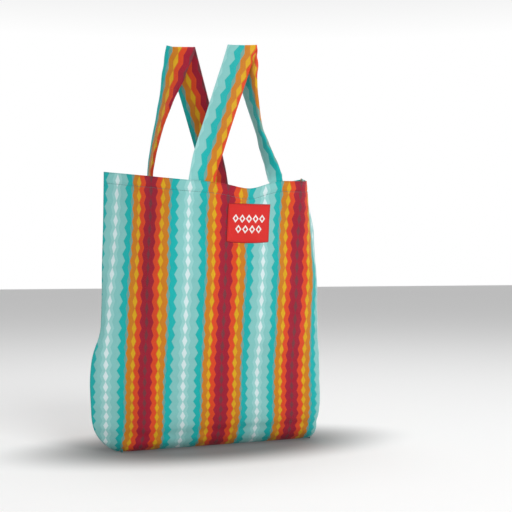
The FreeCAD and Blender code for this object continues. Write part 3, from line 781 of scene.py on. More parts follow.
def thread_material(name, colour):
    """Matte thread."""
    finish = Finish(name, 0.7, sheen=0.2)
    finish.colour(finish.mix(finish.grain(900), tuple(0.6 * v for v in colour), colour))
    return finish.material


hem_thread = thread_material("hem_thread", srgb(74, 128, 130))


def sew_hem(panel, name, turned, node):
    """The thread that holds the hem, in the groove that it pulls."""
    mesh = bmesh.new()
    up = FLOOR_DEPTH + RIM - STITCH_DROP
    margin = 4 * MM

    def along(distance):
        return panel.place((distance + margin) / panel.width, up, -0.1 * MM)

    def outward(distance):
        share = (distance + margin) / panel.width
        return (panel.place(share, up, -1 * MM) - panel.place(share, up)).normalized()

    count = sew(mesh, along, outward, panel.width - 2 * margin)
    finished(name, mesh, hem_thread, "shell", node, turned)
    print(name, "has", count, "stitches")


sew_hem(front, "front_hem_thread", False, "front_hem_stitching")
sew_hem(back, "back_hem_thread", True, "back_hem_stitching")

# %% [markdown]
# ## Rings of points
# Straps, casings, tapes and knots are all a section carried along a path. No one operator
# carries a section that changes on its way, so this helper joins rings of points into
# faces, closes both ends of an open one and lets an operator turn its faces outwards.

# %% Skin helper


def skin(rings, closed, printed, metres):
    """Faces between rings of points; closed joins the last ring to the first."""
    mesh = bmesh.new()
    print_layer = mesh.loops.layers.uv.new("print")
    cloth_layer = mesh.loops.layers.uv.new("cloth")
    made = [[mesh.verts.new(point) for point in ring] for ring in rings]
    count = len(rings[0])
    pairs = list(enumerate(zip(made, made[1:] + made[:1])))
    for n, (near, far) in pairs if closed else pairs[:-1]:
        for k in range(count):
            after = (k + 1) % count
            face = mesh.faces.new((near[k], near[after], far[after], far[k]))
            for loop, corner in zip(face.loops, ((k, n), (k + 1, n), (k + 1, n + 1),
                                                 (k, n + 1))):
                loop[print_layer].uv = printed(*corner)
                loop[cloth_layer].uv = metres(*corner)
    if not closed:
        mesh.faces.new(made[0])
        mesh.faces.new(made[-1])
    bmesh.ops.recalc_face_normals(mesh, faces=mesh.faces)
    return mesh


# %% [markdown]
# ## Straps
# Each strap is a long strip folded in half, edge-stitched down both sides and sewn inside
# the hem at both ends. It is one closed ribbon here: a centreline goes from one sewn end,
# up the flat near limb, over the tight fold at the top and down the far limb. The far limb
# stands nearly edge-on, and half of its width folds behind the other half. At each station
# the cross-section is a thin bar with round edges and two stitched grooves.

# %% Strap stations
STRAP_WIDTH = 42 * MM
CREST_WIDTH = 47 * MM
STRAP_THICKNESS = 1.5 * MM
CREST_BEND = 2.6 * MM
CREST_ANGLE = 155
SEWN_LENGTH = 17 * MM
EDGE_STITCH = 3.2 * MM
HINGE_OUT = 97.7 * MM
LIMB_ROOT_OUT = 96.6 * MM
LIMB_ROOT_HEIGHT = 423.4 * MM
FOOT_ANGLE = 180
EDGE_SHARE = 0.09
NEAR_BOW = 1.5 * MM
HEM_TOP = RIM - RIM_FALL * RUNS[-1][3]
TWIST_RISE = 80 * MM
LIMB_STATIONS = 90
CREST_STATIONS = 14
SEWN_STATIONS = 8


class Strap:
    """A strap's centreline and the way its width points, in its panel's frame.

    angles are pairs of a share of the far limb's rise and the width's direction there.
    The far limb is folded below the first share in unfolds and flat above the second.
    """

    def __init__(self, panel, crest, angles, unfolds, folded_side, side_bow):
        self.panel = panel
        self.crest = crest
        self.angles = angles
        self.unfolds = unfolds
        self.folded_side = folded_side
        self.side_bow = side_bow
        turn = math.radians(CREST_ANGLE)
        self.out = Vector((-math.sin(turn), math.cos(turn), 0))

    def sewn(self, across, down):
        """A point between the panel and its facing, below the rim."""
        share = self.panel.share_at(across, RIM - down)
        inward = 2 * ROLL + STRAP_THICKNESS / 2 + CLOTH / 2
        return self.panel.place(share, FLOOR_DEPTH + RIM - down, inward)

    def limb(self, which):
        """Stations of one limb, 0 near or 1 far, from its sewn end up to the fold."""
        across = self.panel.feet[which]
        stations = []
        for step in range(SEWN_STATIONS):
            down = SEWN_LENGTH * (1 - step / SEWN_STATIONS)
            stations.append((self.sewn(across, down), FOOT_ANGLE, STRAP_WIDTH, which))
        edge = self.sewn(across, 0)
        top = self.crest + self.out * (CREST_BEND if which == 0 else -CREST_BEND)
        root = Vector((across, -LIMB_ROOT_OUT, LIMB_ROOT_HEIGHT))
        for step in range(LIMB_STATIONS):
            climb = step / LIMB_STATIONS
            point = root.lerp(top, climb)
            point += (edge - root) * (1 - smooth_step(0, EDGE_SHARE, climb))
            width = STRAP_WIDTH + (CREST_WIDTH - STRAP_WIDTH) * climb
            if which == 0:
                turn = smooth_step(0, TWIST_RISE, climb * (top.z - root.z))
                angle = FOOT_ANGLE + (CREST_ANGLE - FOOT_ANGLE) * turn
                point += self.out * (NEAR_BOW * math.sin(math.pi * climb))
            else:
                angle = self.turning(climb)
                bow = math.sin(math.pi * climb ** 0.7)
                point += Vector((self.side_bow * bow, 0, 0))
            folded = which * (1 - smooth_step(*self.unfolds, climb))
            stations.append((point, angle, width, folded))
        return stations

    def turning(self, climb):
        """The width's angle on the far limb: flat at the foot, nearly edge-on above it."""
        knots = self.angles
        for (low, start), (high, end) in zip(knots, knots[1:]):
            if climb <= high:
                return start + (end - start) * smooth_step(low, high, climb)
        return knots[-1][1]

    def stations(self):
        """All stations, from the flat limb's sewn end over the fold to the other's."""
        fold = []
        for step in range(CREST_STATIONS + 1):
            angle = math.pi * step / CREST_STATIONS
            lift = Vector((0, 0, math.sin(angle)))
            fold.append((self.crest + (self.out * math.cos(angle) + lift) * CREST_BEND,
                         CREST_ANGLE, CREST_WIDTH, 0))
        return self.limb(0) + fold + self.limb(1)[::-1]


# %% [markdown]
# The cross-section is listed once round: along the outer face, round one folded edge and
# back along the inner face. Points past the crease go round a small bend and back behind
# the rest, and the crease moves from the middle near the foot to the edge at the top, as a
# slanting fold does. A slight curl across the width keeps the ribbon from looking like
# sheet metal, and a slow noise adds the ripples that edge stitching puts into thin cloth.

# %% Strap ribbons
FACE_STEPS = 44
STRAP_PITCH = 28 * MM
CREASE_RADIUS = 1.9 * MM
EDGE_GROOVE = 0.30
EDGE_GROOVE_SHARE = 0.035
CURL = 1.8 * MM
RIPPLE = 0.7 * MM
EDGE_RIPPLE = 0.5 * MM
FREE_RISE = 40 * MM
CREST_CALM = 30 * MM
SHARES = [math.sin(math.pi / 2 * (2 * n / FACE_STEPS - 1)) for n in range(FACE_STEPS + 1)]
SECTION = [(share, 1) for share in SHARES] + [(share, -1) for share in SHARES[-2:0:-1]]


def half_thickness(share):
    """Half the strap's thickness at a share of its half width, with edge grooves."""
    groove = EDGE_GROOVE * bump_at(abs(share), 1 - 2 * EDGE_STITCH / STRAP_WIDTH,
                                   EDGE_GROOVE_SHARE)
    return STRAP_THICKNESS / 2 * math.sqrt(max(1 - share ** 24, 0)) * (1 - groove)


def folded_place(share, crease, width, height, behind):
    """Where a point lies, across and out, when the width folds back past a crease."""
    past = (crease - share) * width / 2
    if past <= 0:
        return share * width / 2, height
    turn = min(past / CREASE_RADIUS, math.pi)
    flat = past - turn * CREASE_RADIUS
    reach = crease * width / 2 + flat - (CREASE_RADIUS - height * behind) * math.sin(turn)
    lift = behind * CREASE_RADIUS * (1 - math.cos(turn)) + height * math.cos(turn)
    return reach, lift


def eased(points):
    """A centreline with its corners rounded and its ends kept."""
    for _ in range(3):
        points = [points[0]] + [(a + 2 * b + c) / 4 for a, b, c
                                in zip(points, points[1:], points[2:])] + [points[-1]]
    return points


def section(strap, station, point, along, travel, seed):
    """One cross-section's points, listed once round."""
    _, angle, width, folded = station
    turn = math.radians(angle)
    side = Vector((math.cos(turn), math.sin(turn), 0))
    side = (side - along * side.dot(along)).normalized()
    face = along.cross(side)
    top = smooth_step(strap.crest.z - CREST_CALM, strap.crest.z, point.z)
    calm = smooth_step(HEM_TOP, HEM_TOP + FREE_RISE, point.z) * (1 - 0.8 * folded)
    curl = CURL * calm * (1 - top) * math.sin(travel * 13 + seed)
    ring = []
    for share, outer in SECTION:
        ripple = RIPPLE * calm * noise.noise(Vector((share * 0.8, travel * 26, seed)))
        ripple += EDGE_RIPPLE * calm * abs(share) * noise.noise(
            Vector((share * 3, travel * 70, seed + 5)))
        height = outer * half_thickness(share) + curl * (share * share - 0.4) + ripple
        reach, lift = folded_place(share * strap.folded_side, folded - 1, width, height,
                                   strap.folded_side)
        reach = (reach - folded * width / 4) * strap.folded_side
        ring.append(point + side * reach + face * lift)
    return ring


def ribbon(strap, print_centre, print_reach, seed):
    """The strap's closed mesh, and how far along it each station lies."""
    stations = strap.stations()
    points = eased([station[0] for station in stations])
    travels = [0.0]
    for before, after in zip(points, points[1:]):
        travels.append(travels[-1] + (after - before).length)
    rings = []
    for n, (station, point, travel) in enumerate(zip(stations, points, travels)):
        along = (points[min(n + 1, len(points) - 1)] - points[max(n - 1, 0)]).normalized()
        rings.append(section(strap, station, point, along, travel, seed))

    def printed(k, n):
        share = SECTION[k % len(SECTION)][0]
        return print_centre + print_reach * share, travels[n] / STRAP_PITCH

    def metres(k, n):
        return SECTION[k % len(SECTION)][0] * STRAP_WIDTH / 2, travels[n]

    return skin(rings, False, printed, metres), travels


def strap_piece(strap, name, turned, prints, nodes, seed):
    """One strap, sewn into the shell at both ends."""
    mesh, travels = ribbon(strap, *prints, seed)
    if turned:
        bmesh.ops.transform(mesh, matrix=HALF_TURN, verts=mesh.verts)
    piece = new_piece(name, mesh, strap_cloth)
    hinge = Vector((sum(strap.panel.feet) / 2, -HINGE_OUT, 0))
    hinge = HALF_TURN @ hinge if turned else hinge
    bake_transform(piece)
    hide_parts(*nodes)
    print(name, round(travels[-1] / MM), "mm long")


strap_cloth = printed_cloth("strap_nylon")
FRONT_CREST = Vector((46 * MM, -30 * MM, 633.6 * MM))
BACK_CREST = Vector((29 * MM, -50 * MM, 640 * MM))
front_strap = Strap(front, FRONT_CREST, ((0, 180), (0.04, 130), (0.13, 109), (0.22, 100),
                                         (0.33, 86), (0.57, 97), (0.72, 101), (0.86, 120),
                                         (1.0, CREST_ANGLE)), (0.30, 0.98), 1, -11 * MM)
back_strap = Strap(back, BACK_CREST, ((0, 180), (0.06, 86), (0.20, 92), (0.40, 101), (0.60, 111),
                                      (0.83, 131), (1.0, CREST_ANGLE)), (0.32, 0.98), -1, 8 * MM)
strap_piece(front_strap, "front_carrying_strap", False, (0.59, 0.34),
            ("front_strap", "front_left_strap_foot", "front_right_strap_foot"),
            1.3)
strap_piece(back_strap, "back_carrying_strap", True, (0.32, -0.34),
            ("back_strap", "back_left_strap_foot", "back_right_strap_foot"),
            6.1)

# %% [markdown]
# ## Strap ends
# Inside the hem each strap end lies flat against the facing, held by a box of stitches
# with a cross in it. The box has the width of an open strap, though the far end goes in
# folded. The stitches follow the strap's centre line, so the same function places them.

# %% Box stitching
BOX_HALF_WIDTH = 18 * MM
BOX_TOP = 2 * MM
BOX_BOTTOM = 15 * MM


def sew_strap_ends(strap, name, turned, node):
    """A stitched box with a cross on each sewn strap end, inside the bag."""
    mesh = bmesh.new()
    corners = ((-1, BOX_TOP), (1, BOX_TOP), (1, BOX_BOTTOM), (-1, BOX_BOTTOM))
    lines = list(zip(corners, corners[1:] + corners[:1])) + [(corners[0], corners[2]),
                                                             (corners[1], corners[3])]
    for foot in strap.panel.feet:
        for (side_a, down_a), (side_b, down_b) in lines:
            length = math.hypot((side_b - side_a) * BOX_HALF_WIDTH, down_b - down_a)

            def inside(distance):
                share = distance / length
                across = foot + (side_a + (side_b - side_a) * share) * BOX_HALF_WIDTH
                down = down_a + (down_b - down_a) * share
                return strap.sewn(across, down) + Vector((0, STRAP_THICKNESS / 2, 0))

            sew(mesh, inside, lambda distance: Vector((0, 1, 0)), length)
    piece = finished(name, mesh, pale_thread, "shell", node, turned)
    print(name, "has", len(piece.data.polygons), "faces")


pale_thread = thread_material("pale_thread", srgb(206, 224, 220))
sew_strap_ends(front_strap, "front_strap_thread", False, "front_strap_stitching")
sew_strap_ends(back_strap, "back_strap_thread", True, "back_strap_stitching")

# %% [markdown]
# ## Bound seams
# Raw edges inside the bag are bound with a narrow folded tape. A strip of grid stands
# inwards from each seam, and its thickness makes the tape. Two seams climb the sides, one
# runs along the middle of the base and two cross the boxed corners.

# %% Seam bindings
SEAM_WIDTH = 8 * MM
BASE_SEAM_TALL = 6 * MM
SEAM_THICKNESS = 1.1 * MM
SEAM_ROWS = 90
BASE_SEAM_ROWS = 60
CORNER_SEAM_ROWS = 16
RIB_PITCH = 1.1 * MM


def binding_material():
    """Ribbed grosgrain tape in the cloth's deep teal."""
    finish = Finish("seam_binding", 0.6, sheen=0.15)
    along, across = finish.uv("cloth")
    ribs = finish.calc("SINE", finish.calc("MULTIPLY", along, 2 * math.pi / RIB_PITCH))
    edge = finish.calc("PINGPONG", finish.calc("DIVIDE", across, SEAM_WIDTH), 0.5)
    stitched = finish.calc("COMPARE", edge, 0.22)
    finish.tree.nodes[-1].inputs[2].default_value = 0.03
    finish.colour(finish.mix(stitched, srgb(52, 128, 130), srgb(30, 86, 90)))
    finish.bump(ribs, 0.1 * MM)
    return finish.material


binding = binding_material()


def seam_strip(name, node, start, inward, rows, width, ripple):
    """A bound seam: start gives its root at a share of its length."""
    length = sum((start((n + 1) / rows) - start(n / rows)).length for n in range(rows))

    def place(share, rise):
        root = start(rise)
        sideways = inward.cross(start(1) - start(0)).normalized()
        wave = ripple * share * noise.noise(Vector((rise * 7, share, len(name))))
        return root + inward * (width * share) + sideways * wave

    mesh = cloth_grid(5, rows, place, lambda share, rise: (share, rise),
                      lambda share, rise: (rise * length, share * width))
    piece = finished(name, mesh, binding, "shell", node)
    thicken(piece, SEAM_THICKNESS, 0.0)
    print(name, round(length / MM), "mm")


SEAM_FOOT = 12 * MM
SEAM_TOP = RIM - HEM_WIDTH - 2 * MM


def side_root(sign):
    """The side seam's line: sign -1 for the left one."""
    def root(rise):
        height = SEAM_FOOT + (SEAM_TOP - SEAM_FOOT) * rise
        left, right = level_at(height)[:2]
        reach = left if sign < 0 else right
        return Vector((sign * (reach - 1.5 * MM), 0, height))
    return root


def base_root(start, end):
    """A straight seam on the base."""
    return lambda rise: Vector(start).lerp(Vector(end), rise)


BASE_LEFT = -RUNS[0][1] + 8 * MM
BASE_RIGHT = RUNS[0][2] - 8 * MM
BASE_TOP = CLOTH + 0.2 * MM
CORNER_HALF = 19 * MM
for side, sign in (("left", -1), ("right", 1)):
    seam_strip(f"{side}_side_binding", f"{side}_side_seam", side_root(sign),
               Vector((-sign, 0, 0)), SEAM_ROWS, SEAM_WIDTH, 2 * MM)
seam_strip("bottom_binding", "bottom_seam",
           base_root((BASE_LEFT, 0, BASE_TOP), (BASE_RIGHT, 0, BASE_TOP)),
           Vector((0, 0, 1)), BASE_SEAM_ROWS, BASE_SEAM_TALL, 2 * MM)
for side, across in (("left", BASE_LEFT - 3 * MM), ("right", BASE_RIGHT + 3 * MM)):
    seam_strip(f"{side}_corner_binding", f"{side}_corner_seam",
               base_root((across, -CORNER_HALF, BASE_TOP), (across, CORNER_HALF, BASE_TOP)),
               Vector((0, 0, 1)), CORNER_SEAM_ROWS, BASE_SEAM_TALL, 0.6 * MM)

# %% [markdown]
# ## Woven patch
# The patch is a small red woven square sewn on all round. A grid follows the panel a
# little way out, rounded down at its edges. Its motif is woven, not printed: two rows of
# hollow diamonds in white, worked out from the patch's own millimetres.

# %% Woven patches
PATCH_RED = srgb(226, 36, 30)
PATCH_EDGE = srgb(168, 20, 24)
MOTIF_WHITE = srgb(250, 246, 242)
PATCH_RISE = 1.0 * MM
PATCH_THICKNESS = 0.6 * MM
PATCH_INSET = 2.4 * MM
PATCH_ROUNDING = 1.2 * MM
TURNED_EDGE = 1.3 * MM
LABEL_WIDTH = 71 * MM
LABEL_TALL = 58 * MM
# the motif in millimetres of the big patch: height, shift and half length of each row
MOTIF_ROWS = ((7.0, 0.0, 27.5), (-8.5, 5.5, 22.0))
DIAMOND_HALF_PITCH = 5.5
DIAMOND_HALF_WIDTH = 5.2
DIAMOND_HALF_HEIGHT = 6.6
OUTLINE_MIDDLE = 0.72
OUTLINE_REACH = 0.27


def patch_material(name, width, tall):
    """Red weave with a darker turned edge and two rows of white diamonds."""
    finish = Finish(name, 0.62, sheen=0.1)
    across, up = finish.uv("cloth")
    size = tall / (LABEL_TALL / MM)
    colour = PATCH_RED
    edge = finish.calc("MINIMUM",
                       finish.calc("SUBTRACT", width / 2, finish.calc("ABSOLUTE", across)),
                       finish.calc("SUBTRACT", tall / 2, finish.calc("ABSOLUTE", up)))
    rim = finish.calc("DIVIDE", finish.calc("SUBTRACT", TURNED_EDGE, edge), 0.5 * MM,
                      clamp=True)
    colour = finish.mix(rim, colour, PATCH_EDGE)
    for row_height, shift, reach in MOTIF_ROWS:
        moved = finish.calc("ADD", across, shift * size)
        away = finish.calc("DIVIDE", finish.calc("PINGPONG", moved, DIAMOND_HALF_PITCH * size),
                           DIAMOND_HALF_WIDTH * size)
        level = finish.calc("ABSOLUTE", finish.calc("SUBTRACT", up, row_height * size))
        total = finish.calc("ADD", away, finish.calc("DIVIDE", level,
                                                     DIAMOND_HALF_HEIGHT * size))
        off_line = finish.calc("ABSOLUTE", finish.calc("SUBTRACT", total, OUTLINE_MIDDLE))
        ring = finish.calc("SUBTRACT", OUTLINE_REACH, off_line)
        ring = finish.calc("DIVIDE", ring, 0.06, clamp=True)
        near = finish.calc("LESS_THAN", finish.calc("ABSOLUTE", across), reach * size)
        colour = finish.mix(finish.calc("MULTIPLY", ring, near), colour, MOTIF_WHITE)
    weave = finish.threads(0.7 * MM)
    shade = finish.calc("MULTIPLY", finish.calc("ADD", weave, 1.0), 0.09)
    finish.colour(finish.mix(shade, colour, (0.05, 0.0, 0.0)))
    finish.bump(weave, 0.09 * MM)
    return finish.material


def patch_rise(across, up, width, tall):
    """How far the patch stands out, rounded down to the cloth at its edges."""
    edge = min(width / 2 - abs(across), tall / 2 - abs(up))
    return PATCH_RISE * (0.35 + 0.65 * math.sqrt(smooth_step(0, PATCH_ROUNDING, edge)))


def patch_piece(name, width, tall, surface, body, node):
    """A woven patch on a surface given by across, up and rise."""
    def place(share, rise):
        across, up = (share - 0.5) * width, (rise - 0.5) * tall
        return surface(across, up, patch_rise(across, up, width, tall))

    def metres(share, rise):
        return (share - 0.5) * width, (rise - 0.5) * tall

    mesh = cloth_grid(70, 58, place, metres, metres)
    weave = patch_material(f"{name}_weave", width, tall)
    piece = finished(name, mesh, weave, body, node)
    thicken(piece, PATCH_THICKNESS)
    print(name, round(width / MM), "by", round(tall / MM), "mm")


def patch_thread(name, width, tall, surface, body, node):
    """Stitches round a patch."""
    half = width / 2 - PATCH_INSET, tall / 2 - PATCH_INSET
    corners = ((-half[0], -half[1]), (half[0], -half[1]), (half[0], half[1]),
               (-half[0], half[1]))
    mesh = bmesh.new()
    for (x_a, y_a), (x_b, y_b) in zip(corners, corners[1:] + corners[:1]):
        length = math.hypot(x_b - x_a, y_b - y_a)

        def along(distance, lift=PATCH_RISE):
            share = distance / length
            return surface(x_a + (x_b - x_a) * share, y_a + (y_b - y_a) * share, lift)

        def outward(distance):
            return (along(distance, 2 * PATCH_RISE) - along(distance)).normalized()

        sew(mesh, along, outward, length)
    piece = finished(name, mesh, patch_sewing, body, node)
    print(name, "has", len(piece.data.polygons), "faces")


LABEL_ACROSS = 30 * MM
LABEL_HEIGHT = 351 * MM
PATCH_SAG = 2 * MM


def on_front(across, up, rise):
    """A point in front of the front panel, seen from the patch's middle."""
    sag = PATCH_SAG * (1 - (2 * across / LABEL_WIDTH) ** 2) * (0.5 - up / LABEL_TALL)
    level = LABEL_HEIGHT + up - sag
    height = level
    for _ in range(4):
        share = front.share_at(LABEL_ACROSS + across, height)
        point = front.place(share, FLOOR_DEPTH + height, -rise)
        height += level - point.z
    return point


patch_sewing = thread_material("patch_sewing", srgb(196, 24, 26))
patch_piece("front_patch", LABEL_WIDTH, LABEL_TALL, on_front, "shell", "front_label")
patch_thread("front_patch_thread", LABEL_WIDTH, LABEL_TALL, on_front, "shell",
             "front_label_stitching")

# %% [markdown]
# ## The pouch's frame
# The stuff pouch hangs from a tape that folds at one point of the back hem. Everything
# below is built with that fold at the origin, hanging straight down, and one matrix leans
# it on the back panel. The fold's place is given as fixed numbers, from the tape's box.

# %% Pouch frame
TAPE_LEAN = math.radians(7.125)
FOLD = Vector((10 * MM, 92.731 * MM, 392 * MM))
POUCH_PLACE = Matrix.Translation(FOLD) @ Matrix.Rotation(-TAPE_LEAN, 4, "X")
POUCH_MIDDLE = -14.9 * MM
MOUTH = -20 * MM
POUCH_HALF = 43 * MM
POUCH_TALL = 115 * MM
MOUTH_HALF_DEPTH = 11 * MM
BASE_HALF_DEPTH = 2 * MM
CHANNEL_WALL = 3.4 * MM
CHANNEL_TALL = 10 * MM
POUCH_CLOTH = 0.5 * MM
print("tape folds at", [round(v / MM, 1) for v in FOLD])


def pouch_part(mesh, name, material, node, body="stuff_pouch"):
    """Put a mesh built in the pouch's frame in its place in the bag."""
    bmesh.ops.transform(mesh, matrix=POUCH_PLACE, verts=mesh.verts)
    return finished(name, mesh, material, body, node)


# %% [markdown]
# ## Pouch cloth
# The pouch is two flat rectangles sewn round three sides. Empty, it is nearly flat at the
# bottom and a flattened ring at its mouth, where the gathered casing holds it open. One
# grid per side goes from seam to seam, with soft gathers below the casing that die away.

# %% Pouch panels
POUCH_STRIPE_START = 0.02
CLOTH_PER_WIDTH = 1.12
POUCH_WAIST = 0.02


def pouch_wall_point(share, drop, side):
    """A point of the pouch: share across, drop 0 at the mouth to 1 at the base."""
    half_depth = MOUTH_HALF_DEPTH + (BASE_HALF_DEPTH - MOUTH_HALF_DEPTH) * drop
    angle = math.pi * share
    gather = 0.8 * MM * math.sin(34 * share + side) * math.exp(-4 * drop)
    crumple = 1.2 * MM * noise.noise(Vector((share * 3.5, drop * 4, 7 + side)))
    middle = math.sin(angle)
    across = -POUCH_HALF * math.cos(angle) * (1 - POUCH_WAIST * math.sin(math.pi * drop))
    depth = half_depth * middle ** 0.6 + (gather + crumple) * middle
    return Vector((across, POUCH_MIDDLE + side * depth, MOUTH - drop * POUCH_TALL))


def pouch_panel(name, side, node):
    """One side of the pouch: -1 for the one that faces into the bag."""
    width = 2 * POUCH_HALF * CLOTH_PER_WIDTH
    mesh = cloth_grid(
        64, 60, lambda share, rise: pouch_wall_point(share, 1 - rise, side),
        lambda share, rise: (POUCH_STRIPE_START + share * width / STRIPE,
                             rise * POUCH_TALL / PITCH_HIGH),
        lambda share, rise: (share * width, rise * POUCH_TALL))
    if side > 0:
        bmesh.ops.reverse_faces(mesh, faces=mesh.faces)
    piece = pouch_part(mesh, name, pouch_cloth, node)
    thicken(piece, POUCH_CLOTH)
    print(name, "flat", round(width / MM), "by", round(POUCH_TALL / MM), "mm")


pouch_cloth = printed_cloth("pouch_nylon")

# %% [markdown]
# ## Gathered casing
# The drawcord runs in a casing round the pouch's mouth. Its section is a soft flattened
# tube carried round the mouth, and its gathers are a wave in the section's size, as a
# pulled cord makes them.

# %% Casing


def mouth_ring(share, out):
    """A point round the mouth at a share of its length, moved outwards."""
    straight = POUCH_HALF - MOUTH_HALF_DEPTH
    radius = MOUTH_HALF_DEPTH + CHANNEL_WALL / 2
    bend = math.pi * radius
    length = 4 * straight + 2 * bend
    walk = (share % 1) * length
    sign = 1 if walk < length / 2 else -1
    walk %= length / 2
    if walk < 2 * straight:
        base, normal = Vector((-straight + walk, -radius)), Vector((0, -1))
    else:
        angle = (walk - 2 * straight) / radius
        normal = Vector((math.sin(angle), -math.cos(angle)))
        base = Vector((straight, 0)) + normal * radius
    point = (base + normal * out) * sign
    return Vector((point.x, POUCH_MIDDLE + point.y)), length


CASING_STATIONS = 200
CASING_SIDES = 14
PLEATS = ((30, 1), (47, 0.6))
SQUARENESS = 0.6
rings = []
for n in range(CASING_STATIONS):
    around = n / CASING_STATIONS
    pleat = sum(size * math.sin(2 * math.pi * count * around) for count, size in PLEATS)
    ring = []
    for k in range(CASING_SIDES):
        angle = 2 * math.pi * k / CASING_SIDES
        out = math.copysign(abs(math.cos(angle)) ** SQUARENESS, math.cos(angle))
        rise = math.copysign(abs(math.sin(angle)) ** SQUARENESS, math.sin(angle))
        wide = CHANNEL_WALL / 2 * (1 + 0.10 * pleat)
        point, casing_length = mouth_ring(around, out * wide)
        level = MOUTH - CHANNEL_TALL / 2 + rise * CHANNEL_TALL / 2 + 0.2 * MM * pleat
        ring.append(Vector((point.x, point.y, level)))
    rings.append(ring)
casing_mesh = skin(rings, True,
                   lambda k, n: (n / CASING_STATIONS * casing_length / STRIPE,
                                 k / CASING_SIDES * 1.2),
                   lambda k, n: (n / CASING_STATIONS * casing_length,
                                 k / CASING_SIDES * 25 * MM))
pouch_part(casing_mesh, "pouch_casing", pouch_cloth, "pouch_channel")
print("casing is", round(casing_length / MM), "mm round")
pouch_panel("pouch_front_cloth", -1, "pouch_front")
pouch_panel("pouch_back_cloth", 1, "pouch_back")

# %% [markdown]
# ## Pouch trim
# The bound seam runs down one side of the pouch, across its base and up the other side.
# It is one flattened tube on a path with two rounded corners. The small woven patch on the
# pouch is the big one again at two thirds of its size, and the tape is a ribbed black strip.

# %% Pouch seam, patch and tape
SEAM_REACH = 2.2 * MM
TRIM_THICKNESS = 1.2 * MM
TRIM_CORNER = 5 * MM


def seam_path():
    """Centre points of the pouch's bound seam, from one end of the mouth to the other."""
    half = POUCH_HALF + SEAM_REACH
    low = MOUTH - POUCH_TALL - SEAM_REACH
    high = MOUTH - CHANNEL_TALL - 1 * MM
    side = [Vector((-half, 0, high + (low + TRIM_CORNER - high) * n / 30)) for n in range(30)]
    corner = [Vector((-half + TRIM_CORNER * (1 - math.cos(angle)), 0,
                      low + TRIM_CORNER * (1 - math.sin(angle))))
              for angle in (math.pi / 2 * n / 8 for n in range(9))]
    base = [Vector(((TRIM_CORNER - half) * (1 - n / 16), 0, low)) for n in range(1, 17)]
    left = side + corner + base
    right = [Vector((-point.x, 0, point.z)) for point in reversed(left[:-1])]
    return [point + Vector((0, POUCH_MIDDLE, 0)) for point in left + right]


def flat_tube(path, across, thickness, sides=10):
    """Rings of a flattened tube in the pouch's plane."""
    rings = []
    for n, point in enumerate(path):
        along = (path[min(n + 1, len(path) - 1)] - path[max(n - 1, 0)]).normalized()
        side = Vector((-along.z, 0, along.x))
        rings.append([point + side * (across / 2 * math.cos(2 * math.pi * k / sides))
                      + Vector((0, thickness / 2 * math.sin(2 * math.pi * k / sides), 0))
                      for k in range(sides)])
    return rings


path = seam_path()
seam_mesh = skin(flat_tube(path, 2 * SEAM_REACH, TRIM_THICKNESS), False,
                 lambda k, n: (k, n), lambda k, n: (n * 3 * MM, k / 10 * 2 * SEAM_WIDTH))
pouch_part(seam_mesh, "pouch_binding", binding, "pouch_seam")
print("pouch binding has", len(path), "stations")

POUCH_PATCH_WIDTH = 50 * MM
POUCH_PATCH_TALL = 44 * MM
POUCH_PATCH_DROP = 86 * MM


def on_pouch(across, up, rise):
    """A point in front of the pouch, seen from its patch's middle."""
    level = -POUCH_PATCH_DROP + up
    drop = (MOUTH - level) / POUCH_TALL
    share = math.acos(min(max(-across / (POUCH_HALF * (1 - POUCH_WAIST)), -1), 1)) / math.pi
    point = pouch_wall_point(share, drop, -1)
    return POUCH_PLACE @ Vector((across, point.y - rise, level))


patch_piece("pouch_patch", POUCH_PATCH_WIDTH, POUCH_PATCH_TALL, on_pouch, "stuff_pouch",
            "pouch_label")
patch_thread("pouch_patch_thread", POUCH_PATCH_WIDTH, POUCH_PATCH_TALL, on_pouch,
             "stuff_pouch", "pouch_label_stitching")


def tape_material():
    """Black woven tape with fine cross ribs."""
    finish = Finish("black_tape", 0.7, sheen=0.2)
    along, across = finish.uv("cloth")
    ribs = finish.calc("SINE", finish.calc("MULTIPLY", along, 2 * math.pi / (0.9 * MM)))
    finish.colour((0.012, 0.012, 0.014))
    finish.bump(ribs, 0.12 * MM)
    return finish.material


TAPE_WIDTH = 10 * MM
TAPE_THICKNESS = 1.0 * MM
TAPE_CLEARANCE = 0.8 * MM
TAPE_REACH = 30 * MM
STUB_LENGTH = 20 * MM
TAPE_STEPS = 24
TAPE_SIDES = 16
tape = tape_material()


def tape_strip(name, low, high, body, node):
    """A straight length of tape in the pouch's frame, between two heights."""
    path = [Vector((0, 0.12 * MM * math.sin(5 * n / TAPE_STEPS),
                    low + (high - low) * n / TAPE_STEPS)) for n in range(TAPE_STEPS + 1)]
    mesh = skin(flat_tube(path, TAPE_WIDTH, TAPE_THICKNESS, TAPE_SIDES), False,
                lambda k, n: (k, n),
                lambda k, n: ((high - low) * n / TAPE_STEPS, k / TAPE_SIDES * 2 * TAPE_WIDTH))
    pouch_part(mesh, name, tape, node, body)
    print(name, round((high - low) / MM, 1), "mm")


tape_strip("pouch_tape", -TAPE_REACH, -TAPE_CLEARANCE / 4, "stuff_pouch", "pouch_tether")
tape_strip("hem_tape", TAPE_CLEARANCE / 4, TAPE_CLEARANCE + STUB_LENGTH, "shell",
           "tether_stub")

# %% [markdown]
# ## Drawcord
# Both ends of the cord leave the front of the casing, drop through the lock and meet in a
# knot. They hang limp, so each is one smooth curve straight down with a slight lean back.
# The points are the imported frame's own. The knot is a trefoil of the same cord, and below
# it each end has frayed into loose fibres.

# %% Cords and knot
CORD_DIAMETER = 2.5 * MM
CORD_ASIDE = 1.3 * MM
CORD_POINTS = ((-27.6, -29.5), (-32.4, -49.5), (-32.4, -93.5), (-30.8, -119.5))
KNOT_RADIUS = 3.6 * MM


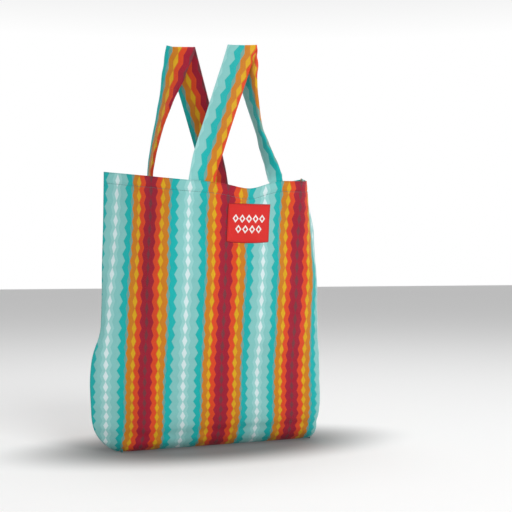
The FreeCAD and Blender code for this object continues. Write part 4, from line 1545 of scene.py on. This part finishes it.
def braid_material():
    """Black braid: two crossed sets of fine slanting ribs on the cord's own place."""
    finish = Finish("black_cord", 0.62, sheen=0.25)
    place = finish.tree.nodes.new("ShaderNodeTexCoord")
    split = finish.tree.nodes.new("ShaderNodeSeparateXYZ")
    finish.tree.links.new(place.outputs["Object"], split.inputs[0])
    steep = 2 * math.pi / (1.1 * MM)
    rise = finish.calc("MULTIPLY", split.outputs[2], steep)
    swing = finish.calc("MULTIPLY", split.outputs[0], 2.2 * steep)
    ribs = finish.calc("MULTIPLY", finish.calc("SINE", finish.calc("ADD", rise, swing)),
                       finish.calc("SINE", finish.calc("SUBTRACT", rise, swing)))
    finish.colour((0.010, 0.010, 0.012))
    finish.bump(ribs, 0.18 * MM)
    return finish.material


braid = braid_material()


def trefoil(turn):
    """A point on the knot's path, about its middle."""
    scale = (KNOT_RADIUS - CORD_DIAMETER / 2) / 3
    return Vector((math.sin(turn) + 2 * math.sin(2 * turn),
                   -math.sin(3 * turn), math.cos(turn) - 2 * math.cos(2 * turn))) * scale


def round_tube(points, radii, closed, sides=10):
    """Rings of a round tube along points, with one radius per point."""
    rings = []
    count = len(points)
    guide = Vector((0.31, 0.95, 0.07))
    for n, (point, radius) in enumerate(zip(points, radii)):
        after = points[(n + 1) % count] if closed else points[min(n + 1, count - 1)]
        before = points[n - 1] if closed else points[max(n - 1, 0)]
        along = (after - before).normalized()
        side = (guide - along * guide.dot(along)).normalized()
        guide = side
        other = along.cross(side)
        rings.append([point + (side * math.cos(angle) + other * math.sin(angle)) * radius
                      for angle in (2 * math.pi * k / sides for k in range(sides))])
    return rings


def plain_skin(rings, closed):
    """Skin with no pattern of its own."""
    return skin(rings, closed, lambda k, n: (k, n), lambda k, n: (k * MM, n * MM))


def add_mesh(target, source):
    """Copy one bmesh into another."""
    data = bpy.data.meshes.new("joined")
    source.to_mesh(data)
    source.free()
    target.from_mesh(data)
    bpy.data.meshes.remove(data)


knot_middle = Vector((0, CORD_POINTS[-1][0] * MM, CORD_POINTS[-1][1] * MM - KNOT_RADIUS))
KNOT_STEPS = 90
KNOT_SQUEEZE = 0.94
TAIL = 7 * MM
TAIL_ASIDE = 1.5 * MM
FIBRES = 14
FIBRE_LENGTH = 5 * MM
FIBRE_RADIUS = 0.16 * MM
knot_path = [knot_middle + trefoil(2 * math.pi * n / KNOT_STEPS) for n in range(KNOT_STEPS)]
knot_radii = [CORD_DIAMETER / 2 * KNOT_SQUEEZE] * KNOT_STEPS
knot_mesh = bmesh.new()
add_mesh(knot_mesh, plain_skin(round_tube(knot_path, knot_radii, True), True))
for side in (-1, 1):
    tip = knot_middle + Vector((side * TAIL_ASIDE, 0, -KNOT_RADIUS * 0.5))
    lean = Vector((side * 0.35, -0.1, -1)).normalized()
    tail = [tip + lean * (TAIL * n / 6) for n in range(7)]
    tail_radii = [CORD_DIAMETER / 2 * (1 - 0.1 * n / 6) for n in range(7)]
    add_mesh(knot_mesh, plain_skin(round_tube(tail, tail_radii, False), False))
    for fibre in range(FIBRES):
        turn = 2.4 * fibre
        out = math.sqrt((fibre + 0.5) / FIBRES)
        outwards = Vector((math.cos(turn), math.sin(turn), 0))
        away = (lean + outwards * (0.25 * out)).normalized()
        start = tail[-1] + outwards * (CORD_DIAMETER / 2 * out * 0.8)
        strand = [start + away * (FIBRE_LENGTH * n / 5)
                  + Vector((0.3 * MM * math.sin(n + turn) * n / 5, 0, 0)) for n in range(6)]
        add_mesh(knot_mesh, plain_skin(round_tube(strand, [FIBRE_RADIUS] * 6, False, 5), False))
knot = pouch_part(knot_mesh, "drawcord_end_knot", braid, "drawcord_knot")


def strand_piece(name, sign, node):
    """One hanging end of the drawcord."""
    curve = bpy.data.curves.new(name, "CURVE")
    curve.dimensions = "3D"
    curve.bevel_depth = CORD_DIAMETER / 2
    curve.bevel_resolution = 5
    curve.resolution_u = 24
    curve.use_fill_caps = True
    line = curve.splines.new("NURBS")
    line.points.add(len(CORD_POINTS) - 1)
    points = [POUCH_PLACE @ Vector((sign * CORD_ASIDE, y * MM, z * MM)) for y, z in CORD_POINTS]
    for control, point in zip(line.points, points):
        control.co = (*point, 1)
    line.order_u = 3
    line.use_endpoint_u = True
    curve.materials.append(braid)
    cord = bpy.data.objects.new(name, curve)
    bpy.context.collection.objects.link(cord)
    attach(cord, "stuff_pouch")
    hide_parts(node)


strand_piece("drawcord_left_end", -1, "drawcord_left_strand")
strand_piece("drawcord_right_end", 1, "drawcord_right_strand")

# %% [markdown]
# ## Lock and small hidden pieces
# The lock's barrel, button and spring are moulded or drawn to exact sizes, so the packed
# model's own shapes stay, and only their finish changes: fine-grained black plastic and
# bright wire. The cord inside the casing keeps its shape too, in the braid's finish.

# %% Lock finish


def moulded_material():
    """Fine-grained black plastic."""
    finish = Finish("black_plastic", 0.38)
    finish.colour((0.016, 0.016, 0.018))
    finish.bump(finish.grain(2200), 0.02 * MM)
    return finish.material


def wire_material():
    """Bright drawn wire."""
    finish = Finish("spring_wire", 0.28)
    finish.colour((0.62, 0.62, 0.64))
    finish.shader.inputs["Metallic"].default_value = 1.0
    return finish.material


plastic = moulded_material()
for node, finish in (("cord_lock_barrel", plastic), ("cord_lock_plunger", plastic),
                     ("cord_lock_spring", wire_material()), ("drawcord_loop", braid),
                     ("tether_stitching", pale_thread)):
    data = bpy.data.objects[node].data
    data.materials.clear()
    data.materials.append(finish)
print("lock pieces keep the packed model's shapes")
